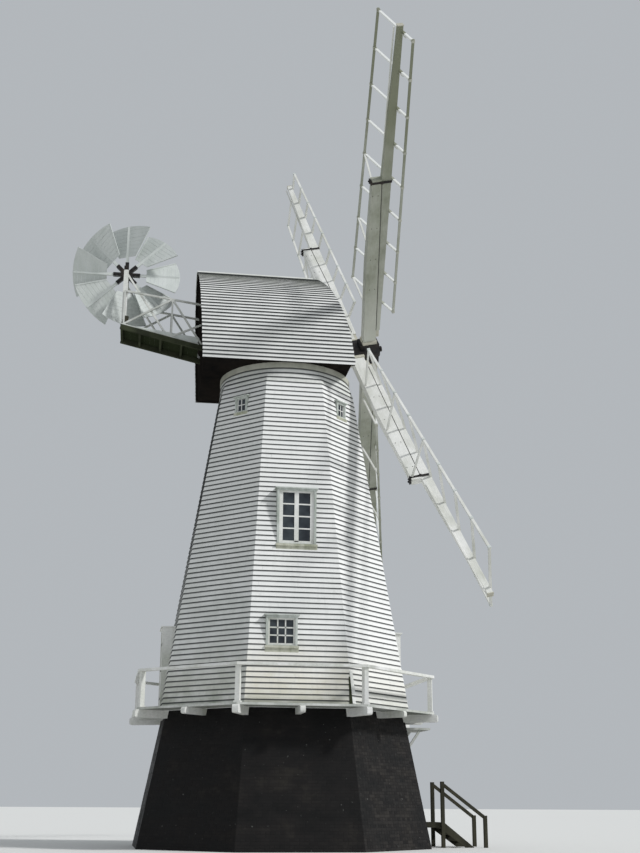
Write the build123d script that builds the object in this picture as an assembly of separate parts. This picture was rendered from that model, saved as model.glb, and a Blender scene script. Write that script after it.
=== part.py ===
from build123d import *
from collections import namedtuple
import math
import os

os.makedirs("parts", exist_ok=True)

# A smock windmill on a brick base, in millimetres.
# The origin is at ground level on the tower's axis. The sails face -Y and the fantail +Y.

# Tower plan: an octagon with flat sides toward X and Y
FACES = 8
FACE_ANGLE = 360 / FACES
HALF_FACE = FACE_ANGLE / 2
SIDE_NAMES = ("right", "rear_right", "rear", "rear_left", "left", "front_left", "front", "front_right")
RIGHT, REAR_RIGHT, REAR, REAR_LEFT, LEFT, FRONT_LEFT, FRONT, FRONT_RIGHT = range(FACES)

# Brick base
DECK_HEIGHT = 3300
DECK_BOARD = 55
BASE_FOOT_RADIUS = 3930
BASE_TOP_RADIUS = 3270
BRICK_THICKNESS = 460
ENTRY_LEVEL = 620
BASE_DOOR_WIDTH = 1100
BASE_DOOR_HEIGHT = 1930

# Steps and hood at the entrance, on the front side
STAIR_WIDTH = 1000
STAIR_RISERS = 4
STAIR_GOING = 198
STAIR_BOARD = 40
STRING_DEPTH = 230
STRING_THICKNESS = 40
LANDING_NOSE = 4250
STAIR_POST_WIDTH = 90
STAIR_FOOT_POST = 5335
STAIR_TOP_POST_HEIGHT = 1630
STAIR_FOOT_POST_HEIGHT = 790
HANDRAIL_WIDTH = 60
HANDRAIL_DEPTH = 80
HANDRAIL_DROP = 60
PORCH_WIDTH = 1300
PORCH_REACH = 3880
PORCH_DROP = 330
PORCH_THICKNESS = 50
PORCH_STRUT_WIDTH = 60
PORCH_STRUT_REACH = 3640
PORCH_STRUT_HEIGHT = 720

# Gallery
DECK_RADIUS = 4060
JOIST_WIDTH = 125
JOIST_DEPTH = 155
CORNER_JOIST_WIDTH = 150
CORNER_JOIST_DEPTH = 190
JOIST_OVERHANG = 90
JOIST_BEARING = 300
JOIST_NOSE_ROUNDING = 60
POST_CIRCLE = 3960
POST_SIZE = 115
RAIL_HEIGHT = 925
RAIL_CIRCLE = 4010
RAIL_WIDTH = 135
RAIL_DEPTH = 65

# Smock
SMOCK_RADIUS = 3400
SMOCK_TAPER = 0.16886
SMOCK_WALL = 180
SMOCK_HEIGHT = 8600
MIDDLE_FLOOR = 3050
TOP_FLOOR = 6000
FLOOR_THICKNESS = 60
NECK_HEIGHT = 400
CURB_RADIUS = 1800
CURB_HEIGHT = 150
CURB_RIM = 30

# Openings in the smock: upright casings, flush at the sill and proud at the head
CASING_PROUD = 20
CASING_WIDTH = 55
SASH_WIDTH = 45
SASH_DEPTH = 45
SASH_SETBACK = 40
GLASS_THICKNESS = 6
HOOD_OVERHANG = 45
HOOD_THICKNESS = 28
UPPER_WINDOW_WIDTH = 1010
UPPER_WINDOW_HEIGHT = 1480
UPPER_WINDOW_SILL = 3980
LOWER_WINDOW_WIDTH = 780
LOWER_WINDOW_HEIGHT = 770
LOWER_WINDOW_SILL = 1380
LOWER_WINDOW_OFFSET = 400
TOP_WINDOW_WIDTH = 410
TOP_WINDOW_HEIGHT = 450
TOP_WINDOW_DROP = 820
GALLERY_DOOR_WIDTH = 900
GALLERY_DOOR_HEIGHT = 2120
DOOR_THICKNESS = 45

# Cap
CAP_TURN = 1.52
CAP_HALF_WIDTH = 1960
CAP_SIDE_HEIGHT = 640
CAP_ARC_RADIUS = 2748
CAP_SKIN = 60
CAP_REAR_AT_EAVE = 2420
CAP_REAR_AT_RIDGE = 2590
CAP_FRONT_AT_EAVE = -1680
CAP_FRONT_AT_RIDGE = -770
CAP_FRONT_BULGE = 125
EAVE_DROP = 30
CAP_FLOOR = 80
CAP_FLOOR_HOLE = 1600
SEAT_CLEARANCE = 0.3
JOURNAL_CLEARANCE = 0.1
GABLE_THICKNESS = 60
GABLE_SETBACK = 70
RIDGE_BOARD_WIDTH = 260
RIDGE_BOARD_THICKNESS = 30

# Windshaft and sails
SHAFT_TILT = 12.84
HUB_FORWARD = 2196
HUB_RISE = 1112
SHAFT_RADIUS = 210
SHAFT_REAR_LENGTH = 2700
NECK_CLEARANCE = 15
BEAM_SIZE = 300
NECK_BEAM_BEHIND_HUB = 1300
TAIL_BEAM_BEHIND_HUB = 2480
SADDLE_LENGTH = 260
SADDLE_WIDTH = 546
STOCK_DEPTH = 356
STOCK_WIDTH = 280
STOCK_END_DEPTH = 260
STOCK_END_WIDTH = 190
STOCK_TAPER_START = 3000
STOCK_REACH = 5600
STOCK_SPACING = 432
POLL_WALL = 60
POLL_REACH = 330
POLL_NOSE = 90
STRIKING_ROD_RADIUS = 45
STRIKING_ROD_LENGTH = 100
STRIKING_DISC_RADIUS = 82
STRIKING_DISC_THICKNESS = 45
SAIL_REST_ANGLE = 57.0
SAIL_NAMES = ("up_right", "up_left", "down_left", "down_right")
WHIP_START = 760
WHIP_REACH = 9660
WHIP_HEEL_FRONT = 120
WHIP_TIP_FRONT = 384
WHIP_TIP_DEPTH = 140
WHIP_WIDTH = 200
WHIP_TIP_WIDTH = 110
BAYS = 8
TIP_BAR_RADIUS = 9490
BAR_SPACING = 975.5
LEADING_WIDTH = 596
TRAILING_WIDTH = 1438
TIP_WEATHER = 6.9
HEEL_WEATHER = 17.3
BAR_LIFT = 6
BAR_WIDTH = 45
BAR_DEPTH = 60
HEMLATH_WIDTH = 60
HEMLATH_DEPTH = 45
CLAMP_THICKNESS = 12
CLAMP_LENGTH = 60
CLAMP_INSET = 85

# Fan stage and fantail
STAGE_HALF_WIDTH = 600
STAGE_TILT = 12.6
STAGE_REAR = 4680
STAGE_REAR_RISE = 1345
STAGE_INSIDE = 1500
SPAR_WIDTH = 90
SPAR_DEPTH = 130
STAGE_BOARD = 32
FAN_CENTRE_REAR = 4600
FAN_CENTRE_RISE = 3050
FAN_POST_OFFSET = 470
FAN_POST_WIDTH = 130
FAN_POST_THICKNESS = 90
BEARING_HALF_HEIGHT = 60
STAGE_RAIL_HEIGHT = 1000
STAGE_RAIL_FRONT_HEIGHT = 1190
STAGE_BRACE = 50
STAGE_POST_REAR = 3270
STAGE_STAY_FOOT = 3370
SPINDLE_RADIUS = 30
FAN_BLADES = 8
FAN_RADIUS = 1520
FAN_INNER_RADIUS = 560
BLADE_PITCH = 33.0
BLADE_OUTER_HALF_WIDTH = 660
BLADE_INNER_HALF_WIDTH = 245
BLADE_THICKNESS = 18
FAN_SPAR_WIDTH = 80
FAN_SPAR_DEPTH = 50
HUB_CORE_RADIUS = 150
HUB_PLATE = 20
HUB_ARM_WIDTH = 105
HUB_ARM_REACH = 380

# Levels worked out from the driving dimensions
DECK_UNDERSIDE = DECK_HEIGHT - DECK_BOARD
SMOCK_TOP = DECK_HEIGHT + SMOCK_HEIGHT
NECK_TOP = SMOCK_TOP + NECK_HEIGHT
CURB_TOP = NECK_TOP + CURB_HEIGHT
CAP_BOTTOM = CURB_TOP + SEAT_CLEARANCE
EAVE = CAP_BOTTOM - EAVE_DROP
HUB_LEVEL = CURB_TOP + HUB_RISE
STAGE_REAR_LEVEL = CURB_TOP + STAGE_REAR_RISE
FAN_CENTRE_LEVEL = CURB_TOP + FAN_CENTRE_RISE
CAP_LENGTH_ALLOWANCE = 2 * CAP_HALF_WIDTH
BASE_DOOR_HEAD = ENTRY_LEVEL + BASE_DOOR_HEIGHT
PORCH_TOP = DECK_HEIGHT - PORCH_DROP
PORCH_STRUT_FOOT = PORCH_TOP - PORCH_STRUT_HEIGHT
TOP_WINDOW_SILL = SMOCK_HEIGHT - TOP_WINDOW_DROP


def octagon(radius, height):
    return Pos(0, 0, height) * RegularPolygon(radius, FACES, rotation=HALF_FACE)


def frustum(low_radius, low, high_radius, high):
    return loft([octagon(low_radius, low), octagon(high_radius, high)], ruled=True)


def apothem(radius):
    return radius * math.cos(math.radians(HALF_FACE))


def corner_radius(flat_distance):
    return flat_distance / math.cos(math.radians(HALF_FACE))


def wedge(side, low, high, reach):
    """The sector of the plan that belongs to one side, between two heights."""
    half_width = reach * math.tan(math.radians(HALF_FACE))
    outline = Polyline((0, 0), (reach, -half_width), (reach, half_width), close=True)
    return on_side(side, Pos(0, 0, low) * extrude(make_face(outline), high - low))


def on_side(side, shape):
    """Turn a shape built for the +X side to another side of the octagon."""
    return Rot(0, 0, side * FACE_ANGLE) * shape


def block(x_low, x_high, y_low, y_high, z_low, z_high):
    size = Box(x_high - x_low, y_high - y_low, z_high - z_low)
    return Pos((x_low + x_high) / 2, (y_low + y_high) / 2, (z_low + z_high) / 2) * size


def beam(start, end, width, depth):
    """A straight timber of rectangular section; its depth lies in the upright plane."""
    start = Vector(*start)
    run = Vector(*end) - start
    across = Vector(0, 0, 1).cross(run)
    if across.length < 1:
        across = Vector(1, 0, 0)
    section = Plane(origin=start, x_dir=across, z_dir=run) * Rectangle(width, depth)
    return extrude(section, run.length)


def base_radius(height):
    share = height / DECK_UNDERSIDE
    return BASE_FOOT_RADIUS + (BASE_TOP_RADIUS - BASE_FOOT_RADIUS) * share


def smock_radius(height):
    return SMOCK_RADIUS - SMOCK_TAPER * (height - DECK_HEIGHT)


def smock_frustum(low, high, inset=0):
    step = corner_radius(inset)
    return frustum(smock_radius(low) - step, low, smock_radius(high) - step, high)


# Brick base

def joist(inner, outer, width, depth):
    """A joist along +X under the deck, with a rounded nose."""
    outline = Pos((inner + outer) / 2, -depth / 2) * Rectangle(outer - inner, depth)
    outline = fillet(outline.vertices().group_by(Axis.X)[-1], JOIST_NOSE_ROUNDING)
    bar = extrude(Plane.XZ * outline, width / 2, both=True)
    return Pos(0, 0, DECK_UNDERSIDE) * bar


def gallery_joist_list():
    """A joist square to each side and a stouter one at each corner, all built into the brickwork."""
    side_inner = apothem(base_radius(DECK_UNDERSIDE)) - JOIST_BEARING
    side_outer = apothem(DECK_RADIUS) + JOIST_OVERHANG
    side_joist = joist(side_inner, side_outer, JOIST_WIDTH, JOIST_DEPTH)
    corner_inner = base_radius(DECK_UNDERSIDE) - JOIST_BEARING
    corner_outer = DECK_RADIUS + JOIST_OVERHANG
    corner_joist = joist(corner_inner, corner_outer, CORNER_JOIST_WIDTH, CORNER_JOIST_DEPTH)
    joists = []
    for side in range(FACES):
        joists.append(on_side(side, side_joist))
        joists.append(on_side(side + 1 / 2, corner_joist))
    return joists


def brick_shell():
    step = corner_radius(BRICK_THICKNESS)
    return base_outside() - frustum(BASE_FOOT_RADIUS - step, 0, BASE_TOP_RADIUS - step, DECK_UNDERSIDE)


def base_outside():
    return frustum(BASE_FOOT_RADIUS, 0, BASE_TOP_RADIUS, DECK_UNDERSIDE)


def base_doorway():
    """The upright doorway from the landing's level up, for the +X side."""
    inner = apothem(base_radius(BASE_DOOR_HEAD)) - BRICK_THICKNESS
    half = BASE_DOOR_WIDTH / 2
    return block(inner, apothem(BASE_FOOT_RADIUS), -half, half, ENTRY_LEVEL, BASE_DOOR_HEAD)


def ground_floor():
    """The raised floor inside the brick walls, level with the landing."""
    step = corner_radius(BRICK_THICKNESS)
    return frustum(BASE_FOOT_RADIUS - step, 0, base_radius(ENTRY_LEVEL) - step, ENTRY_LEVEL)


def brick_walls():
    shell = brick_shell() - gallery_joist_list()
    walls = {}
    for side, name in enumerate(SIDE_NAMES):
        wall = shell & wedge(side, 0, DECK_UNDERSIDE, 2 * BASE_FOOT_RADIUS)
        if side == FRONT:
            wall = wall - on_side(FRONT, base_doorway())
        walls["brick_wall_" + name] = wall
    return walls


def base_door_frame():
    outer = apothem(base_radius(BASE_DOOR_HEAD))
    inner = outer - BRICK_THICKNESS / 2
    half = BASE_DOOR_WIDTH / 2
    clear = half - CASING_WIDTH
    sill = ENTRY_LEVEL + CASING_WIDTH
    jambs = block(inner, outer, -half, half, ENTRY_LEVEL, BASE_DOOR_HEAD)
    jambs = jambs - block(inner, outer, -clear, clear, sill, BASE_DOOR_HEAD - CASING_WIDTH)
    return on_side(FRONT, jambs)


def base_door():
    outer = apothem(base_radius(BASE_DOOR_HEAD)) - SASH_SETBACK
    half = BASE_DOOR_WIDTH / 2 - CASING_WIDTH
    low = ENTRY_LEVEL + CASING_WIDTH
    leaf = block(outer - DOOR_THICKNESS, outer, -half, half, low, BASE_DOOR_HEAD - CASING_WIDTH)
    return on_side(FRONT, leaf)


# Entrance: built for the +X side and turned to the front

def entry_landing():
    """The landing's boards on two bearers, up to the brick wall."""
    inner = apothem(base_radius(ENTRY_LEVEL)) - BRICK_THICKNESS
    half = STAIR_WIDTH / 2 - STAIR_POST_WIDTH / 2
    boards = block(inner, LANDING_NOSE, -half, half, ENTRY_LEVEL - STAIR_BOARD, ENTRY_LEVEL)
    bearers = boards
    for hand in (-1, 1):
        outer_y = hand * half
        inner_y = hand * (half - STAIR_POST_WIDTH / 2)
        bearers = bearers + block(inner, LANDING_NOSE, min(outer_y, inner_y), max(outer_y, inner_y),
                                  ENTRY_LEVEL - STAIR_BOARD - STAIR_POST_WIDTH, ENTRY_LEVEL - STAIR_BOARD)
    return on_side(FRONT, bearers) - base_outside()


def entry_steps():
    """Treads let into two sloping strings that run from the landing to the ground."""
    rise = ENTRY_LEVEL / STAIR_RISERS
    half = STAIR_WIDTH / 2 - STAIR_POST_WIDTH / 2
    run = STAIR_GOING * STAIR_RISERS
    steps = []
    for hand in (-1, 1):
        outer_y = hand * half
        inner_y = hand * (half - STRING_THICKNESS)
        outline = Polyline((LANDING_NOSE, ENTRY_LEVEL), (LANDING_NOSE + run, 0),
                           (LANDING_NOSE + run - STRING_DEPTH, 0), (LANDING_NOSE, ENTRY_LEVEL - STRING_DEPTH),
                           close=True)
        board = extrude(Plane.XZ * make_face(outline), STRING_THICKNESS)
        steps.append(Pos(0, max(outer_y, inner_y), 0) * board)
    inside = half - STRING_THICKNESS
    for index in range(1, STAIR_RISERS):
        top = ENTRY_LEVEL - index * rise
        start = LANDING_NOSE + (index - 1) * STAIR_GOING
        steps.append(block(start, start + STAIR_GOING, -inside, inside, top - STAIR_BOARD, top))
    flight = steps[0]
    for piece in steps[1:]:
        flight = flight + piece
    return on_side(FRONT, flight)


def entry_rail(hand):
    """One side's newel posts and handrail."""
    middle = hand * STAIR_WIDTH / 2
    half = STAIR_POST_WIDTH / 2
    top_post = LANDING_NOSE - half
    upper = block(top_post - half, LANDING_NOSE, middle - half, middle + half, 0, STAIR_TOP_POST_HEIGHT)
    lower = block(STAIR_FOOT_POST - half, STAIR_FOOT_POST + half, middle - half, middle + half, 0,
                  STAIR_FOOT_POST_HEIGHT)
    start = (top_post, middle, STAIR_TOP_POST_HEIGHT - HANDRAIL_DROP)
    end = (STAIR_FOOT_POST, middle, STAIR_FOOT_POST_HEIGHT - HANDRAIL_DROP)
    return on_side(FRONT, upper + lower + beam(start, end, HANDRAIL_WIDTH, HANDRAIL_DEPTH))


def door_hood():
    """A flat hood over the entrance, on two raking struts."""
    wall = apothem(base_radius(PORCH_TOP)) - BRICK_THICKNESS
    half = PORCH_WIDTH / 2
    hood = block(wall, PORCH_REACH, -half, half, PORCH_TOP - PORCH_THICKNESS, PORCH_TOP)
    foot = apothem(base_radius(PORCH_STRUT_FOOT)) - PORCH_STRUT_WIDTH
    for hand in (-1, 1):
        middle = hand * (half - PORCH_STRUT_WIDTH)
        hood = hood + beam((foot, middle, PORCH_STRUT_FOOT), (PORCH_STRUT_REACH, middle, PORCH_TOP -
                           PORCH_THICKNESS / 2), PORCH_STRUT_WIDTH, PORCH_STRUT_WIDTH)
    return on_side(FRONT, hood) - base_outside()


# Gallery

def gallery_deck():
    deck = frustum(DECK_RADIUS, DECK_UNDERSIDE, DECK_RADIUS, DECK_HEIGHT)
    return deck - smock_frustum(DECK_UNDERSIDE, DECK_HEIGHT)


def gallery_posts():
    posts = []
    top = DECK_HEIGHT + RAIL_HEIGHT - RAIL_DEPTH
    half = POST_SIZE / 2
    for side in range(FACES):
        post = block(POST_CIRCLE - half, POST_CIRCLE + half, -half, half, DECK_HEIGHT, top)
        posts.append(Rot(0, 0, HALF_FACE) * on_side(side, post))
    return posts


def gallery_rail():
    low = DECK_HEIGHT + RAIL_HEIGHT - RAIL_DEPTH
    high = DECK_HEIGHT + RAIL_HEIGHT
    step = corner_radius(RAIL_WIDTH / 2)
    outer = RAIL_CIRCLE + step
    inner = RAIL_CIRCLE - step
    return frustum(outer, low, outer, high) - frustum(inner, low, inner, high)


# Smock tower

Opening = namedtuple("Opening", "side offset sill width height is_door")


def smock_openings():
    found = []
    for side, hand in ((LEFT, -1), (RIGHT, 1)):
        found.append(Opening(side, 0, UPPER_WINDOW_SILL, UPPER_WINDOW_WIDTH, UPPER_WINDOW_HEIGHT, False))
        found.append(Opening(side, hand * LOWER_WINDOW_OFFSET, LOWER_WINDOW_SILL, LOWER_WINDOW_WIDTH,
                             LOWER_WINDOW_HEIGHT, False))
    for side in (REAR_RIGHT, REAR_LEFT, FRONT_LEFT, FRONT_RIGHT):
        found.append(Opening(side, 0, TOP_WINDOW_SILL, TOP_WINDOW_WIDTH, TOP_WINDOW_HEIGHT, False))
    for side in (REAR, FRONT):
        found.append(Opening(side, 0, 0, GALLERY_DOOR_WIDTH, GALLERY_DOOR_HEIGHT, True))
    return found


def casing_front(opening):
    return apothem(smock_radius(DECK_HEIGHT + opening.sill)) + CASING_PROUD


def casing_back(opening):
    head = DECK_HEIGHT + opening.sill + opening.height
    return apothem(smock_radius(head)) - SMOCK_WALL


def opening_block(opening, inset, back, front):
    half = opening.width / 2 - inset
    low = DECK_HEIGHT + opening.sill + inset
    high = DECK_HEIGHT + opening.sill + opening.height - inset
    return block(back, front, opening.offset - half, opening.offset + half, low, high)


def casing(opening):
    front = casing_front(opening)
    back = casing_back(opening)
    frame = opening_block(opening, 0, back, front) - opening_block(opening, CASING_WIDTH, back, front)
    head = DECK_HEIGHT + opening.sill + opening.height
    half = opening.width / 2 + HOOD_OVERHANG
    wall_face = apothem(smock_radius(head))
    hood = block(wall_face, front + HOOD_OVERHANG, opening.offset - half, opening.offset + half,
                 head, head + HOOD_THICKNESS)
    return on_side(opening.side, frame + hood)


def sash(opening):
    front = casing_front(opening) - SASH_SETBACK
    back = front - SASH_DEPTH
    inset = CASING_WIDTH + SASH_WIDTH
    frame = opening_block(opening, CASING_WIDTH, back, front) - opening_block(opening, inset, back, front)
    return on_side(opening.side, frame)


def pane(opening):
    middle = casing_front(opening) - SASH_SETBACK - SASH_DEPTH / 2
    half = GLASS_THICKNESS / 2
    inset = CASING_WIDTH + SASH_WIDTH
    return on_side(opening.side, opening_block(opening, inset, middle - half, middle + half))


def door_leaf(opening):
    front = casing_front(opening) - SASH_SETBACK
    return on_side(opening.side, opening_block(opening, CASING_WIDTH, front - DOOR_THICKNESS, front))


def smock_walls():
    shell = smock_frustum(DECK_UNDERSIDE, SMOCK_TOP) - smock_frustum(DECK_UNDERSIDE, SMOCK_TOP, SMOCK_WALL)
    walls = {}
    for side, name in enumerate(SIDE_NAMES):
        wall = shell & wedge(side, DECK_UNDERSIDE, SMOCK_TOP, 2 * SMOCK_RADIUS)
        for opening in smock_openings():
            if opening.side == side:
                cut = opening_block(opening, 0, casing_back(opening) - SMOCK_WALL, casing_front(opening))
                wall = wall - on_side(side, cut)
        walls["smock_wall_" + name] = wall
    return walls


def storey_floors():
    floors = []
    for level in (0, MIDDLE_FLOOR, TOP_FLOOR):
        high = DECK_HEIGHT + level
        floor = smock_frustum(high - FLOOR_THICKNESS, high, SMOCK_WALL)
        if level == 0:
            floor = smock_frustum(DECK_UNDERSIDE, high, SMOCK_WALL)
        for opening in smock_openings():
            floor = floor - on_side(opening.side, opening_block(opening, 0, casing_back(opening),
                                                                casing_front(opening)))
        floors.append(floor)
    return floors


def smock_neck():
    """The last boards under the cap, where the octagon turns into a circle."""
    outer = loft([octagon(smock_radius(SMOCK_TOP), SMOCK_TOP), Pos(0, 0, NECK_TOP) * Circle(CURB_RADIUS)])
    inner_low = smock_radius(SMOCK_TOP) - corner_radius(SMOCK_WALL)
    inner = loft([octagon(inner_low, SMOCK_TOP), Pos(0, 0, NECK_TOP) * Circle(CURB_RADIUS - SMOCK_WALL)])
    return outer - inner


def curb():
    ring = Circle(CURB_RADIUS + CURB_RIM) - Circle(CURB_RADIUS - SMOCK_WALL)
    return Pos(0, 0, NECK_TOP) * extrude(ring, CURB_HEIGHT)


# Cap

def roof_half_profile(inset):
    """Half the cap's cross section: an upright side, then one arc up to the ridge."""
    side = CAP_HALF_WIDTH - inset
    radius = CAP_ARC_RADIUS - inset
    centre_x = CAP_HALF_WIDTH - CAP_ARC_RADIUS
    spring = EAVE + CAP_SIDE_HEIGHT
    ridge = spring + math.sqrt(radius ** 2 - centre_x ** 2)
    end_angle = math.acos(-centre_x / radius)
    middle = (centre_x + radius * math.cos(end_angle / 2), spring + radius * math.sin(end_angle / 2))
    outline = Line((0, EAVE), (side, EAVE)) + Line((side, EAVE), (side, spring))
    outline += ThreePointArc((side, spring), middle, (0, ridge))
    outline += Line((0, ridge), (0, EAVE))
    return make_face(Plane.XZ * outline)


def ridge_height(inset=0):
    radius = CAP_ARC_RADIUS - inset
    return EAVE + CAP_SIDE_HEIGHT + math.sqrt(radius ** 2 - (CAP_HALF_WIDTH - CAP_ARC_RADIUS) ** 2)


def cap_front_circle():
    """Where the arc that the cap's front follows is centred, along Y and in height, and its radius."""
    rise = ridge_height() - EAVE
    run = CAP_FRONT_AT_RIDGE - CAP_FRONT_AT_EAVE
    chord = math.hypot(run, rise)
    radius = chord ** 2 / CAP_FRONT_BULGE / 8 + CAP_FRONT_BULGE / 2
    away = radius - CAP_FRONT_BULGE
    centre_y = (CAP_FRONT_AT_EAVE + CAP_FRONT_AT_RIDGE) / 2 + away * rise / chord
    centre_height = (EAVE + ridge_height()) / 2 - away * run / chord
    return centre_y, centre_height, radius


def cap_rear_at(height):
    """How far back the leaning rear of the cap is at one height."""
    share = (height - EAVE) / (ridge_height() - EAVE)
    return CAP_REAR_AT_EAVE + (CAP_REAR_AT_RIDGE - CAP_REAR_AT_EAVE) * share


def cap_room(setback):
    """All that lies between the cap's curved front and its leaning rear, both pushed in by setback."""
    centre_y, centre_height, radius = cap_front_circle()
    ahead = centre_y - radius
    high = 2 * EAVE
    outline = Polyline((ahead, 0), (cap_rear_at(0) - setback, 0), (cap_rear_at(high) - setback, high),
                       (ahead, high), close=True)
    side_view = make_face(outline) & Pos(centre_y, centre_height) * Circle(radius - setback)
    return extrude(Plane.YZ * side_view, 2 * CAP_HALF_WIDTH, both=True)


def cap_solid(inset):
    """Half of the cap's outer form, pushed in by inset, running on past both its ends."""
    return extrude(roof_half_profile(inset), CAP_LENGTH_ALLOWANCE, both=True)


def cap_roof(hand):
    shell = (cap_solid(0) - cap_solid(CAP_SKIN)) & cap_room(0)
    return shell if hand > 0 else mirror(shell, about=Plane.YZ)


def both_halves(half):
    return half + mirror(half, about=Plane.YZ)


def inside_cap(setback):
    """Everything inside the cap's skin from its frame up, its ends pushed in by setback."""
    ahead = -CAP_LENGTH_ALLOWANCE
    low = block(-CAP_HALF_WIDTH, CAP_HALF_WIDTH, ahead, CAP_LENGTH_ALLOWANCE, EAVE, CAP_BOTTOM)
    return (both_halves(cap_solid(CAP_SKIN)) - low) & cap_room(setback)


def shaft_axis_plane(along=0):
    """A plane square to the windshaft; along is the distance ahead of the sails' crossing."""
    tilt = math.radians(SHAFT_TILT)
    forward = Vector(0, -math.cos(tilt), math.sin(tilt))
    origin = Vector(0, -HUB_FORWARD, HUB_LEVEL) + forward * along
    return Plane(origin=origin, x_dir=(1, 0, 0), z_dir=forward)


def shaft_cylinder(radius, rear, front):
    return extrude(shaft_axis_plane(-rear) * Circle(radius), rear + front)


def cap_gable(rear_end):
    """One end wall of the cap, set back from the roof's edge."""
    walls = inside_cap(GABLE_SETBACK) - cap_room(GABLE_SETBACK + GABLE_THICKNESS)
    y_low = 0 if rear_end else -CAP_LENGTH_ALLOWANCE
    y_high = CAP_LENGTH_ALLOWANCE if rear_end else 0
    return walls & block(-CAP_HALF_WIDTH, CAP_HALF_WIDTH, y_low, y_high, EAVE, 2 * EAVE)


def cap_gable_front():
    return cap_gable(False) - shaft_cylinder(SHAFT_RADIUS + NECK_CLEARANCE, SHAFT_REAR_LENGTH, 0)


def stage_top(rear):
    return STAGE_REAR_LEVEL - (STAGE_REAR - rear) * math.tan(math.radians(STAGE_TILT))


def stage_spars():
    """The two timbers that run out of the cap to carry the fan stage."""
    drop = (STAGE_BOARD + SPAR_DEPTH / 2) / math.cos(math.radians(STAGE_TILT))
    spars = []
    for hand in (-1, 1):
        x = hand * (STAGE_HALF_WIDTH - SPAR_WIDTH / 2)
        start = (x, STAGE_INSIDE, stage_top(STAGE_INSIDE) - drop)
        end = (x, STAGE_REAR, stage_top(STAGE_REAR) - drop)
        spars.append(beam(start, end, SPAR_WIDTH, SPAR_DEPTH))
    return spars


def cap_gable_rear():
    return cap_gable(True) - stage_spars()


def cap_floor():
    inside = CAP_HALF_WIDTH - CAP_SKIN
    plate = block(-inside, inside, -CAP_LENGTH_ALLOWANCE, CAP_LENGTH_ALLOWANCE, CAP_BOTTOM,
                  CAP_BOTTOM + CAP_FLOOR)
    hole = Pos(0, 0, CAP_BOTTOM) * extrude(Circle(CAP_FLOOR_HOLE), CAP_FLOOR)
    return (plate & cap_room(GABLE_SETBACK + GABLE_THICKNESS)) - hole


def ridge_board():
    half = RIDGE_BOARD_WIDTH / 2
    cover = block(-half, half, -CAP_LENGTH_ALLOWANCE, CAP_LENGTH_ALLOWANCE, ridge_height() - half,
                  ridge_height() + RIDGE_BOARD_THICKNESS)
    return (cover - both_halves(cap_solid(0))) & cap_room(0)


def shaft_beams():
    """The two cross beams of the cap, notched over its floor, each with a saddle under the windshaft."""
    inside = CAP_HALF_WIDTH - CAP_SKIN
    beams = []
    for behind_hub in (NECK_BEAM_BEHIND_HUB, TAIL_BEAM_BEHIND_HUB):
        centre = shaft_axis_plane(-behind_hub)
        top = -SHAFT_RADIUS - NECK_CLEARANCE
        timber = centre * Pos(0, top - BEAM_SIZE / 2, 0) * Box(2 * inside, BEAM_SIZE, BEAM_SIZE)
        saddle_height = SHAFT_RADIUS + NECK_CLEARANCE
        saddle = centre * Pos(0, -saddle_height / 2, 0) * Box(SADDLE_WIDTH, saddle_height, SADDLE_LENGTH)
        journal = shaft_cylinder(SHAFT_RADIUS + JOURNAL_CLEARANCE, SHAFT_REAR_LENGTH, 0)
        framed = (timber + saddle) & inside_cap(GABLE_SETBACK + GABLE_THICKNESS)
        beams.append(framed - journal - cap_floor())
    return beams


def under_stage(thickness):
    """A sloping slab of the given thickness whose top is the fan stage's walking surface."""
    drop = thickness / 2 / math.cos(math.radians(STAGE_TILT))
    return beam((0, STAGE_INSIDE, stage_top(STAGE_INSIDE) - drop),
                (0, STAGE_REAR, stage_top(STAGE_REAR) - drop), 2 * STAGE_HALF_WIDTH, thickness)


def stage_deck():
    return under_stage(STAGE_BOARD) - cap_room(GABLE_SETBACK)


def fan_posts():
    """The posts that carry the fantail, each with a raking stay framed into its back."""
    posts = []
    half = FAN_POST_WIDTH / 2
    top = FAN_CENTRE_LEVEL - BEARING_HALF_HEIGHT
    for hand in (-1, 1):
        x = hand * FAN_POST_OFFSET
        post = block(x - FAN_POST_THICKNESS / 2, x + FAN_POST_THICKNESS / 2, FAN_CENTRE_REAR - half,
                     FAN_CENTRE_REAR + half, stage_top(FAN_CENTRE_REAR - FAN_POST_WIDTH), top)
        stay = beam((x, STAGE_STAY_FOOT, stage_top(STAGE_STAY_FOOT)),
                    (x, FAN_CENTRE_REAR, top - BEARING_HALF_HEIGHT), STAGE_BRACE, STAGE_BRACE)
        posts.append(post + stay - under_stage(SPAR_DEPTH))
    return posts


def stage_rail_point(x, rear, share):
    """A point of one side's railing: share is 0 on the stage and 1 at the handrail, which is less steep."""
    run = (FAN_CENTRE_REAR - rear) / (FAN_CENTRE_REAR - CAP_REAR_AT_EAVE)
    rail = STAGE_RAIL_HEIGHT + (STAGE_RAIL_FRONT_HEIGHT - STAGE_RAIL_HEIGHT) * run
    return x, rear, stage_top(rear) + rail * share


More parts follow.
